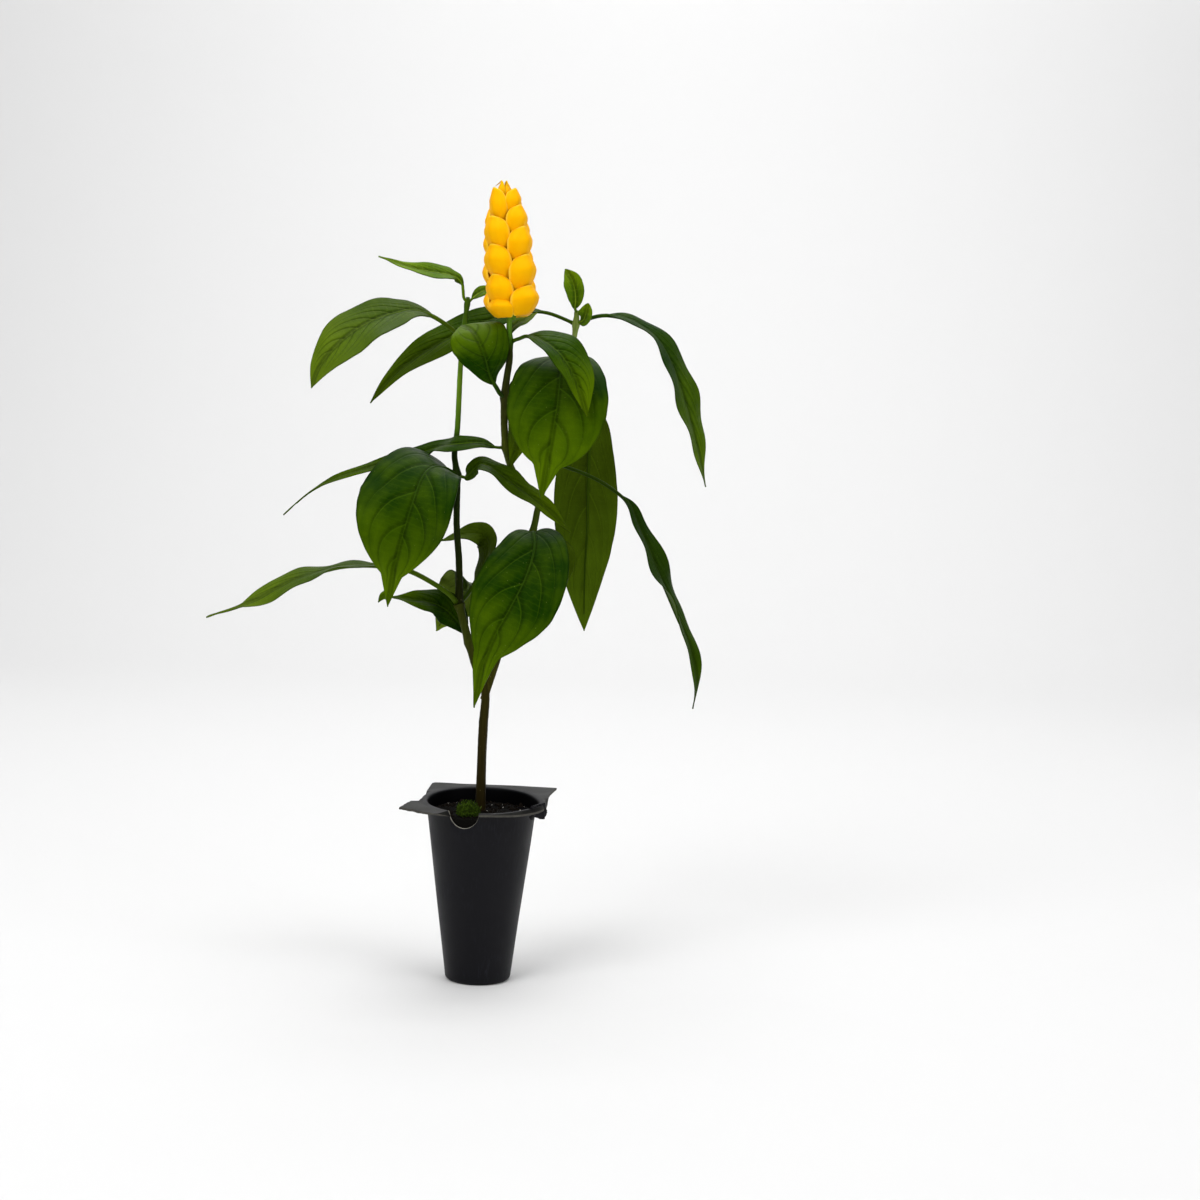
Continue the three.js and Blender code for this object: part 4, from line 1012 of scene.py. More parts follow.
         ((0.3, -0.9, 0.4), (0, -1, 0.4), (0, -0.5, 0.9)),
         stalk=9, half=15, widest=0.6, base=1.0, sharp=0.9, sides=(0.98, 1.04), fold=10, curl=0.12, wave=(0.7, 3),
         veins=5, tone=LeafTone.DEEP),
    Leaf("leaf_bloom_middle_b", "bloom2",
         ((1.9, 1, 4.6), (4.2, 3, 8.2), (7.7, 5, 6.1), (9.1, 6, -1.5), (7.6, 6, -14.3), (5, 7, -26.1),
          (1.6, 7.5, -37.4)),
         ((0.3, 0.2, 1), (0.6, -0.7, 0.2), (0.2, -1, 0)),
         stalk=8, half=8.5, widest=0.4, fold=10, wave=(0.7, 3), veins=7, tone=LeafTone.OLIVE),
    Leaf("leaf_bloom_top_a", "bloom3",
         ((4.4, -3, 1.4), (9.1, -7, 2.8), (15.6, -12, 0.6), (24.8, -17, -6), (32.4, -20, -17.2), (36.3, -21, -28.2),
          (39, -21, -38.1)),
         ((0.1, -0.3, 1), (0.3, -0.8, 0.6), (0.1, -1, 0.2)),
         stalk=8, half=11.3, sharp=1.0, sides=(1.15, 0.64), fold=15, wave=(0.7, 3), veins=8),
    Leaf("leaf_bloom_top_b", "bloom3", ((-1, 5, 3), (2, 10, 8), (7, 13, 11), (13, 17, 15)),
         ((-0.3, -0.6, 0.8), (-0.3, -0.7, 0.7)),
         stalk=6, half=4, widest=0.45, fold=15, curl=0, wave=(0, 1), veins=5, tone=LeafTone.FRESH, rows=40,
         columns=14),
)


@dataclass(frozen=True)
class Shoot:
    """One length of stem: centre points with a radius each, its bark, and the nodes that swell it.

    joint says how far a node swells, as a share of the node's radius, and over what length. ring is the depth, the
    offset and the length of the fine ring where a leaf pair's bases met. rib and knob are how uneven the bark is.
    """

    name: str
    points: tuple[tuple[float, float, float, float], ...]
    bark: GreenBark
    nodes: tuple[str, ...] = ()
    joint: tuple[float, float] = (1.08, 2.6)
    ring: Triple = (0.22, 1.1, 0.35)
    rib: float = 0.055
    knob: float = 0.10
    stations: int = 150
    sides: int = 20

    def build(self) -> Piece:
        """Builds the shoot with its swellings and scars.

        Returns:
            The piece.
        """
        spine = Spine([Vector(p[:3]) for p in self.points])
        marks = [spine.reached[i * Spine.STEPS] / spine.length for i in range(len(self.points) - 1)] + [1.0]
        swellings = []
        for name in self.nodes:
            centre = Vector(NODES[name].at)
            share = min((k / 400 for k in range(401)), key=lambda s: (spine.at(s) - centre).length)
            swellings.append((share, NODES[name].radius * self.joint[0]))

        def radius(share: float, turn: float) -> float:
            """Shapes the stem's skin.

            Args:
                share: the share of the stem's length.
                turn: the angle round it.

            Returns:
                The radius there.
            """
            i = max(0, min(len(marks) - 2, sum(m <= share for m in marks) - 1))
            plain = blend(self.points[i][3], self.points[i + 1][3],
                          ease((share - marks[i]) / (marks[i + 1] - marks[i])))
            for place, size in swellings:
                gap = (share - place) * spine.length
                plain += (size - plain) * math.exp(-(gap / self.joint[1]) ** 2)
                plain -= self.ring[0] * math.exp(-((gap - self.ring[1]) / self.ring[2]) ** 2)
            ribs = self.rib * plain * math.cos(4 * turn + 0.8 * math.sin(6 * share))
            knobs = self.knob * noise.noise(Vector((share * 46, math.cos(turn) * 1.3, math.sin(turn) * 1.3)))
            return plain + ribs + knobs

        mesh = bmesh.new()
        sweep(mesh, spine.at, spine.heading, radius, self.stations, self.sides)
        return finish_piece(mesh, self.name, [self.bark.build()], ("stems",), leaning=True)


SHOOTS = (
    Shoot("trunk", ((0, 0, 86, 3.0), (0, 0, 91, 2.8), (0.8, 0, 119, 2.45), (1.7, 0, 136, 2.55), (2.6, 0, 154, 2.3),
                    (-1, 0, 163, 2.15), (-4.6, 0, 175, 2.2), (-7, 0, 184, 2.2), (-10.8, 0, 199.5, 2.3)),
          GreenBark("bark_trunk", ((0.0, "#20190a"), (0.35, "#27200a"), (0.62, "#2b2809"), (0.85, "#353c10"),
                                   (1.0, "#343c0d")), 86, 200), ("trunk", "left1")),
    Shoot("shoot_left", ((-10.6, 0, 198.5, 2.3), (-10.6, 0, 222, 1.8), (-11.7, 0, 240, 1.7), (-11.4, 0, 266.7, 1.8),
                         (-12.6, 0, 277, 1.6), (-11, 0, 291, 1.5), (-9.2, 0, 323, 1.4), (-7.9, 0, 338, 1.5),
                         (-5.7, 0, 354, 1.2), (-5.1, 0, 358.5, 0.8)),
          GreenBark("bark_left", ((0.0, "#20260a"), (0.4, "#18280b"), (0.54, "#203408"), (0.57, "#416312"),
                                  (0.7, "#63851f"), (0.85, "#4c6c17"), (1.0, "#34500e")), 198, 359),
          ("left2", "left3", "leftTip")),
    Shoot("shoot_right", ((1.9, 0, 149, 2.1), (8.9, 1.5, 169.6, 1.9), (15.2, 4, 190.5, 1.9), (22, 6, 215.6, 1.8),
                          (27.3, 7, 234.5, 1.9), (32, 8, 255.5, 1.7), (38.3, 9, 273, 1.8), (45.1, 11, 312.2, 1.7),
                          (49.3, 12, 336.6, 1.4), (50.4, 12, 345, 1.5), (50.9, 12, 352, 0.9)),
          GreenBark("bark_right", ((0.0, "#34300c"), (0.35, "#343f0e"), (0.6, "#405312"), (0.9, "#859450"),
                                   (1.0, "#748b3d")), 149, 352), ("right1", "right2", "right3", "right4", "rightTip")),
    Shoot("shoot_bloom", ((32.0, 8, 256, 1.6), (27, 6.6, 259.5, 1.6), (21.5, 3.6, 263, 1.6), (17, -1, 270.5, 1.8),
                          (14.4, -7.5, 281.5, 1.9), (14.2, -16, 307.2, 1.8), (17.1, -20, 328, 1.6),
                          (16.9, -20, 335.6, 1.5), (16.9, -20, 343, 1.35), (17.8, -20, 356, 1.3)),
          GreenBark("bark_bloom", ((0.0, "#405312"), (0.3, "#3e4511"), (0.5, "#343812"), (0.78, "#303812"),
                                   (0.84, "#3f6612"), (1.0, "#6c9a30")), 256, 352), ("bloom1", "bloom2", "bloom3")),
)


@dataclass(frozen=True)
class GoldenSpike:
    """The flower spike: a slim green core with pairs of cupped bracts, each pair a quarter turn on from the last.

    Each pair is given by the height of its tips above the spike's foot, its length, and its size. claw is the share
    of a bract's length in which it opens from its narrow foot on the core.
    """

    foot: Triple = (18.6, -20, 346)
    lean: Triple = (-0.057, 0, 1)
    core_radius: float = 2.6
    core_height: float = 62
    first_turn: float = -40
    thick: float = 0.45
    reach: float = 15.2
    spread: float = 51
    claw: float = 0.12
    pairs: tuple[Triple, ...] = (
        (11.5, 11, 0.93), (17, 16.6, 1.05), (23.6, 19, 0.96), (32.6, 20.5, 1.0), (38.6, 20.5, 0.94), (46.6, 20, 0.92),
        (52.6, 20, 0.88), (57.4, 18, 0.8), (66.8, 23, 0.62), (65.6, 15, 0.6), (70.4, 14, 0.26), (68.6, 12, 0.24))

    def _bract(self, mesh: Mesh, uv: bmesh.types.BMLayerItem, pair: Triple, place: Matrix,
               seed: float) -> None:
        """Adds one bract, rooted at height 0 and facing -Y before it is placed.

        Args:
            mesh: the bmesh that takes it.
            uv: the layer for its own map.
            pair: tip height, length and size of its pair.
            place: where it goes on the spike.
            seed: makes each bract a little different.
        """
        old = set(mesh.faces)
        grid = bmesh.ops.create_grid(mesh, x_segments=20, y_segments=26, size=0.5)["verts"]
        flat = {v: (2 * v.co.x, 0.5 + 0.5 * math.sin(math.pi * v.co.y)) for v in grid}
        sheet = [f for f in mesh.faces if f not in old]
        for face in sheet:
            for loop in face.loops:
                loop[uv].uv = (0.5 * flat[loop.vert][0] + 0.5, flat[loop.vert][1])
        _, length, size = pair
        full = self.reach * size * (1 + 0.03 * noise.noise(Vector((seed, 0.3, 0))))
        for vert, (v, t) in flat.items():
            # How far out the bract stands at a height, less near its tip and least on the small closing ones
            bulge = 0.36 + 0.64 * math.sin(0.5 * math.pi * min(1.0, t / 0.68)) ** 0.8
            bulge -= blend(0.15, 0.5, ease((0.45 - size) / 0.15)) * ease((t - 0.6) / 0.4)
            # How wide it is there, with the lowest pairs' roots drawn in
            narrowing = 0.44 + 0.32 * ease((0.5 - t) / 0.5) * ease((24 - pair[0]) / 6)
            oval = max(0.0, 1 - abs(2 * blend(0.04, 0.99, t) - 1) ** 2.9) ** narrowing
            turn = math.radians(self.spread) * v * oval
            # A faint keel, margins that tuck in, and a foot that opens from the core
            keel = 0.035 * math.exp(-(v / 0.13) ** 2) * ease(t / 0.3) * ease((1 - t) / 0.3)
            tuck = 0.30 * abs(v) ** 2.6 * ease(t / 0.25) - 0.03 * ease((abs(v) - 0.86) / 0.14)
            cup = blend(self.core_radius * 0.6, full * bulge, ease(t / self.claw))
            out = cup * (1 - tuck + keel) + 0.3 * noise.noise(Vector((seed, 3 * v, 4 * t))) * ease(t / self.claw)
            # The lower edge hangs in a rounded lobe
            lobe = min(1.0, size) * (1.8 * (1 - ease(t / 0.14)) - 0.5 * math.sin(math.pi * min(1.0, t / 0.3)))
            vert.co = Vector((out * math.sin(turn), -out * math.cos(turn), length * (t - 0.05 * v * v * t) + lobe))
        bmesh.ops.recalc_face_normals(mesh, faces=sheet)
        if sheet[len(sheet) // 2].normal.y > 0:
            bmesh.ops.reverse_faces(mesh, faces=sheet)
        bmesh.ops.solidify(mesh, geom=sheet, thickness=self.thick * min(1.0, size * size * 2))
        verts = list(dict.fromkeys(v for f in mesh.faces if f not in old for v in f.verts))
        for vert in verts:
            vert.co.z = min(length, vert.co.z)
        bmesh.ops.transform(mesh, matrix=place, verts=verts)

    def build(self) -> list[Piece]:
        """Builds the bracts and the core.

        Returns:
            Both pieces.
        """
        upright = Vector((0, 0, 1)).rotation_difference(Vector(self.lean).normalized()).to_matrix().to_4x4()
        stand = Matrix.Translation(self.foot) @ upright
        mesh = bmesh.new()
        uv = mesh.loops.layers.uv.new("blade")
        for i, pair in enumerate(self.pairs):
            for side in (0, 180):
                turn = math.radians(self.first_turn + 90 * i + side)
                place = stand @ Matrix.Translation((0, 0, pair[0] - pair[1])) @ Matrix.Rotation(turn, 4, "Z")
                self._bract(mesh, uv, pair, place, i * 3.7 + side)
        bracts = finish_piece(mesh, "bloom_bracts", [BractSkin().build()], ("bloom_spike",), leaning=True)
        core = bmesh.new()
        line = Spine([Vector((0, 0, 0)), Vector((0, 0, self.core_height * 0.5)), Vector((0, 0, self.core_height))])
        sweep(core, line.at, line.heading,
              lambda s, turn: self.core_radius * blend(0.62, 1.0, ease(s / 0.08)) * (1 - 0.75 * s),
              stations=24, sides=12)
        bmesh.ops.transform(core, matrix=stand, verts=core.verts)
        heart = finish_piece(core, "bloom_core", [Crumb("bloom_core_green", "#4f7a18", "#7da02c", 1.2, 0.6).build()],
                             ("bloom_spike",), leaning=True)
        return [bracts, heart]


@dataclass(frozen=True)
class PlugPot:
    """The thin moulded plug pot, with what is left of its square tray flange.

    edge is the flange's outline in its own square, from its right side round by the back: two whole corners, the left
    front one bent out to a sharp tab, then the torn front up to the notch. Along lip_arc only the round lip is left,
    pressed down by lip_droop at its two ends. torn is the middle and the half width of the arc with the raggedest
    edge, in degrees, and flare how far the mouth is bent out, in what direction, over what arc and from what height.
    The mouth sags to the front, in step with the distance to its back.
    """

    height: float = 97.5
    foot_radius: float = 17.4
    foot_corner: float = 2.6
    mouth_radius: float = 29.2
    wall: float = 0.9
    floor: float = 1.4
    flange_thick: float = 1.1
    flange_turn: float = math.radians(-5)
    lip_radius: float = 32.2
    lip_thick: float = 2.2
    lip_arc: tuple[int, int] = (-88, -4)
    edge: tuple[tuple[float, float], ...] = (
        (33.2, 6), (33.6, 10), (34, 20), (35.8, 35), (10, 35.2), (-27.9, 35.5), (-30.6, 35.1), (-31.8, 33.4),
        (-31.8, 18), (-31.5, 5), (-32.3, -8.4), (-36, -9.3), (-37.9, -16.3), (-39.3, -25.1), (-36.6, -26.4),
        (-34.3, -28.4), (-31, -29.6), (-29.1, -31.8), (-21.8, -34.3), (-13.9, -34.6), (-6, -33.2))
    notch_radius: float = 8.4
    notch_height: float = 96.6
    notch_turn: float = math.radians(-106)
    notch_root: float = 66
    cut_rim: float = 1.2
    flap_at: Triple = (30.0, -11.2, 96.2)
    flap_turn: float = math.radians(57)
    flap_half: float = 6.5
    lip_droop: tuple[float, float] = (0.3, 2.0)
    torn: tuple[float, float] = (-136, 48)
    flare: tuple[float, float, float, float] = (1.9, -10, 34, 84)
    sag: float = 0.055
    sag_from: float = 33
    drains: int = 4
    drain_radius: float = 2.5
    drain_circle: float = 9.5
    steps: int = 480

    def outline(self) -> list[Vector]:
        """Turns the flange to its place over the pot.

        Returns:
            The outline's corners.
        """
        lip = [(self.lip_radius * math.cos(math.radians(a)), self.lip_radius * math.sin(math.radians(a)))
               for a in range(self.lip_arc[0], self.lip_arc[1] + 1, 6)]
        turn = Matrix.Rotation(self.flange_turn, 2)
        return [turn @ Vector(point) for point in (*self.edge, *lip)]

    def corners(self) -> list[float]:
        """Returns the angles at which the mesh needs an upright edge: the outline's corners and the notch's ends."""
        ends = [self.notch_turn + side * self.notch_radius / self.mouth_radius for side in (-1, 1)]
        return [math.atan2(point.y, point.x) for point in self.outline()] + ends

    def reach(self, angle: float, outline: list[Vector]) -> float:
        """Returns the flange's outer radius at an angle, with the tear's ragged edge.

        Args:
            angle: the direction from the pot's axis.
            outline: the flange's outline.

        Returns:
            The radius, never less than the round lip's.
        """
        ray = Vector((math.cos(angle), math.sin(angle)))
        best = self.lip_radius
        for a, b in zip(outline, outline[1:] + outline[:1]):
            edge = b - a
            cross = ray.x * edge.y - ray.y * edge.x
            if abs(cross) < 1e-9:
                continue
            share = (a.x * ray.y - a.y * ray.x) / cross
            if -1e-6 <= share <= 1 + 1e-6:
                best = max(best, (a.x * edge.y - a.y * edge.x) / cross)
        middle, half = self.torn
        torn = ease((half - abs(math.remainder(math.degrees(angle) - middle, 360))) / 6)
        coarse = noise.noise(Vector((math.cos(angle) * 24, math.sin(angle) * 24, 3.0)))
        fine = noise.noise(Vector((math.cos(angle) * 70, math.sin(angle) * 70, 8.0)))
        return best + blend(0.07, 0.42, torn) * coarse + 0.25 * torn * fine

    def wall_radius(self, z: float) -> float:
        """Returns the outer wall's radius at a height."""
        return blend(self.foot_radius, self.mouth_radius, (z - self.foot_corner) / (self.height - self.foot_corner))

    def notch_top(self, angle: float) -> float:
        """Cuts the half-round notch.

        Args:
            angle: the direction from the pot's axis.

        Returns:
            How high the wall stands there.
        """
        along = math.remainder(angle - self.notch_turn, 2 * math.pi) * self.mouth_radius
        if abs(along) >= self.notch_radius - 0.02:
            return self.height
        return min(self.height, self.notch_height - math.sqrt(self.notch_radius ** 2 - along ** 2))

    def droop(self, angle: float) -> float:
        """Returns how far the torn-off lip is pressed down at an angle: most beside the flap."""
        return blend(*self.lip_droop, ease((math.degrees(angle) - self.lip_arc[0]) / 62))

    def profile(self) -> list[tuple[float, float, float, float]]:
        """Draws the wall's section, from the foot up the outside, over the flange and down the inside.

        Returns:
            Rows of radius, height, share of the flange and share of the wall crossed.
        """
        corner = [(self.foot_radius - self.foot_corner * (1 - math.sin(a)), self.foot_corner * (1 - math.cos(a)))
                  for a in (math.radians(d) for d in range(0, 91, 15))]
        # The rounded foot and the plain wall
        rows = [(r, z, 0.0, 0.0) for r, z in corner]
        rows += [(self.wall_radius(z), z, 0.0, 0.0) for z in (8, 20, 34, 48, 60, 68, 74, 79, 83, 86, 88.5, 90.5, 92.2)]
        under, plate = self.height - self.lip_thick, self.height - self.flange_thick
        root, rim = self.wall_radius(under), self.lip_radius
        # The lip's underside, with a soft root and a rolled rim
        rows += [(root + 0.02, under - 1.2, 0.0, 0.02), (root + 0.16, under - 0.6, 0.0, 0.05),
                 (root + 0.5, under - 0.18, 0.0, 0.08), (root + 1.0, under, 0.0, 0.11), (rim - 1.6, under, 0.0, 0.14),
                 (rim - 1.15, under + 0.12, 0.0, 0.17), (rim - 0.85, under + 0.45, 0.0, 0.2),
                 (rim - 0.75, plate - 0.1, 0.0, 0.23)]
        # The flange out along its underside, round its edge and back over its top
        spreads = (0.03, 0.15, 0.3, 0.45, 0.6, 0.75, 0.88, 0.96, 1.0)
        rows += [(rim + f, plate, f, 0.26 + 0.02 * i) for i, f in enumerate(spreads)]
        rows += [(rim + 1, plate + self.flange_thick / 2, 1.01, 0.45)]
        rows += [(rim + f, self.height, f, 0.48 + 0.02 * i) for i, f in enumerate(reversed(spreads))]
        # The rounded mouth and the inner wall down to the floor
        inner = self.wall_radius(self.height) - self.wall
        rows += [(inner + 1.3, self.height - 0.02, 0.0, 0.7), (inner + 0.7, self.height - 0.2, 0.0, 0.8),
                 (inner + 0.25, self.height - 0.6, 0.0, 0.9), (inner, self.height - 1.4, 0.0, 1.0)]
        rows += [(self.wall_radius(z) - self.wall, z, 0.0, 1.0) for z in (94, 92, 89, 85, 80, 70, 50, 30, 15, 6)]
        return rows + [(self.foot_radius - self.wall - 2, self.floor, 0.0, 1.0)]

    def build(self) -> list[Piece]:
        """Builds the pot's shell and the crumpled flap.

        Returns:
            Both pieces.
        """
        mesh = bmesh.new()
        spread = mesh.verts.layers.float.new("flange")
        crossed = mesh.verts.layers.float.new("crossed")
        rows = self.profile()
        chain = [mesh.verts.new((r, 0, z)) for r, z, _, _ in rows]
        for vert, (_, _, out, over) in zip(chain, rows):
            vert[spread], vert[crossed] = out, over
        edges = [mesh.edges.new(pair) for pair in zip(chain, chain[1:])]
        bmesh.ops.spin(mesh, geom=chain + edges, cent=(0, 0, 0), axis=(0, 0, 1), angle=2 * math.pi,
                       steps=self.steps, use_merge=True)
        bmesh.ops.remove_doubles(mesh, verts=mesh.verts, dist=0.004)
        outline, corners = self.outline(), self.corners()
        for vert in mesh.verts:
            self._tear(vert, vert[spread], vert[crossed], outline, corners)
        self._floors(mesh)
        bmesh.ops.recalc_face_normals(mesh, faces=mesh.faces)
        for face in mesh.faces:
            middle = face.calc_center_median()
            in_notch = self.notch_top(math.atan2(middle.y, middle.x)) < self.height
            near = all(math.hypot(v.co.x, v.co.y) < self.mouth_radius + self.cut_rim for v in face.verts)
            cut = in_notch and near and all(0.1 < v[crossed] < 0.9 for v in face.verts)
            torn_off = all(v[spread] > 0.995 for v in face.verts)
            face.material_index = 2 if cut else 1 if torn_off else 0
        plastic, torn = MouldedPot().build(), TornEdge().build()
        snipped = TornEdge("pot_cut_edge", "#4a4a44", "#a3a092").build()
        shell = finish_piece(mesh, "pot_shell", [plastic, torn, snipped], ("pot",))
        return [shell, self._flap(plastic, torn)]

    def _tear(self, vert: Point, spread: float, crossed: float, outline: list[Vector],
              corners: list[float]) -> None:
        """Moves one point of the round blank to the torn, notched and sagging shape.

        Args:
            vert: the point.
            spread: 0 on the wall, up to 1 at the flange's outer edge.
            crossed: 0 on the wall's outside, 1 on its inside, and between them over the lip.
            outline: the flange's outline.
            corners: the angles to which the nearest points are drawn.
        """
        radius, z = math.hypot(vert.co.x, vert.co.y), vert.co.z
        angle = math.atan2(vert.co.y, vert.co.x)
        gap = min((math.remainder(angle - c, 2 * math.pi) for c in corners), key=abs)
        if abs(gap) < math.pi / self.steps:
            angle -= gap
        top = self.notch_top(angle)
        # In the notch only the wall's cut edge is left, and the rows under it are drawn down
        if top < self.height and 0 < crossed < 1:
            radius = self.wall_radius(top) - self.wall * crossed
            z = top + 0.3 * math.sin(math.pi * crossed)
        elif top < self.height and z > self.notch_root:
            z = blend(self.notch_root, top, (z - self.notch_root) / (self.height - self.notch_root))
            radius = self.wall_radius(z) - self.wall * crossed
        # The flange reaches out to its outline, a little wavy, and where it is torn off the lip is pressed down
        elif spread > 0:
            outer = self.reach(angle, outline)
            radius = blend(self.lip_radius - 0.7, outer, spread)
            far = min(1.0, max(0.0, radius - self.lip_radius + 1) / 4)
            z += 0.45 * far * noise.noise(Vector((math.cos(angle) * 2.6, math.sin(angle) * 2.6, radius * 0.06)))
            torn_off = ease((self.lip_radius + 3 - outer) / 2.6) * ease((self.height - top + 1) / 1)
            z -= self.droop(angle) * torn_off * spread ** 1.5
        # The mouth is bent out beside the flap, and the thin wall is faintly dented all over
        if 0 < crossed and top >= self.height:
            out, turn, arc, root = self.flare
            radius += out * ease(1 - abs(math.degrees(angle) - turn) / arc) * ease((z - root) / 10)
        dent = 0.22 * noise.noise(Vector((math.cos(angle) * 0.9, math.sin(angle) * 0.9, z * 0.02))) * ease(z / 30)
        x, y = (radius + dent) * math.cos(angle), (radius + dent) * math.sin(angle)
        vert.co = Vector((x, y, z + self.sag * (y - self.sag_from) * z / self.height))

    def _floors(self, mesh: Mesh) -> None:
        """Closes the foot with an outer and an inner floor, and leads the drain holes through both.

        Args:
            mesh: the shell, open at its foot.
        """
        open_edges = [e for e in mesh.edges if len(e.link_faces) == 1]
        low = [e for e in open_edges if e.verts[0].co.z < self.floor / 2]
        high = [e for e in open_edges if e.verts[0].co.z >= self.floor / 2]
        level = sum(e.verts[0].co.z for e in high) / len(high)
        holes: list[list[Edge]] = []
        for ring, z in ((low, 0.0), (high, level)):
            circles = []
            for i in range(self.drains):
                turn = 2 * math.pi * (i + 0.5) / self.drains
                centre = Vector((self.drain_circle * math.cos(turn), self.drain_circle * math.sin(turn), z))
                round_hole = bmesh.ops.create_circle(mesh, segments=28, radius=self.drain_radius,
                                                     matrix=Matrix.Translation(centre), cap_ends=False)["verts"]
                circles.append(list(dict.fromkeys(e for v in round_hole for e in v.link_edges)))
            bmesh.ops.triangle_fill(mesh, edges=ring + [e for c in circles for e in c], use_beauty=True)
            holes.append(circles)
        for lower, upper in zip(*holes):
            bmesh.ops.bridge_loops(mesh, edges=lower + upper)

    def _flap(self, plastic: Material, torn: Material) -> Piece:
        """Builds the crumpled strip that hangs beside the missing corner.

        Args:
            plastic: the pot's plastic.
            torn: its torn edge.

        Returns:
            The piece.
        """
        mesh = bmesh.new()
        grid = bmesh.ops.create_grid(mesh, x_segments=34, y_segments=24, size=0.5)["verts"]
        for vert in grid:
            u, v = vert.co.x + 0.5, vert.co.y + 0.5
            along = blend(-self.flap_half, self.flap_half, u)
            # Three straight tears bound the strip, which is longest near its middle
            length = min((along + 6.6) * 2.0, 7.2 + 0.4 * along, 9.8 - 0.47 * along)
            length = max(1.4, length + 0.5 * noise.noise(Vector((9 * u, 0, 2))))
            crease = 1.5 * abs(noise.noise(Vector((3.4 * u, 2.4 * v, 5))))
            crease += 0.8 * abs(noise.noise(Vector((8 * u + 3, 6 * v, 1))))
            fold = (0.9 * math.sin(7 * u + 2.5 * v) + crease) * (0.25 + 0.75 * v)
            vert.co = Vector((along + 0.5 * crease * v, -fold, -length * v))
        bmesh.ops.recalc_face_normals(mesh, faces=mesh.faces)
        bmesh.ops.solidify(mesh, geom=mesh.faces[:], thickness=0.5)
        place = Matrix.Translation(self.flap_at) @ Matrix.Rotation(self.flap_turn, 4, "Z")
        bmesh.ops.transform(mesh, matrix=place, verts=mesh.verts)
        return finish_piece(mesh, "pot_flap", [plastic, torn], ("pot",))


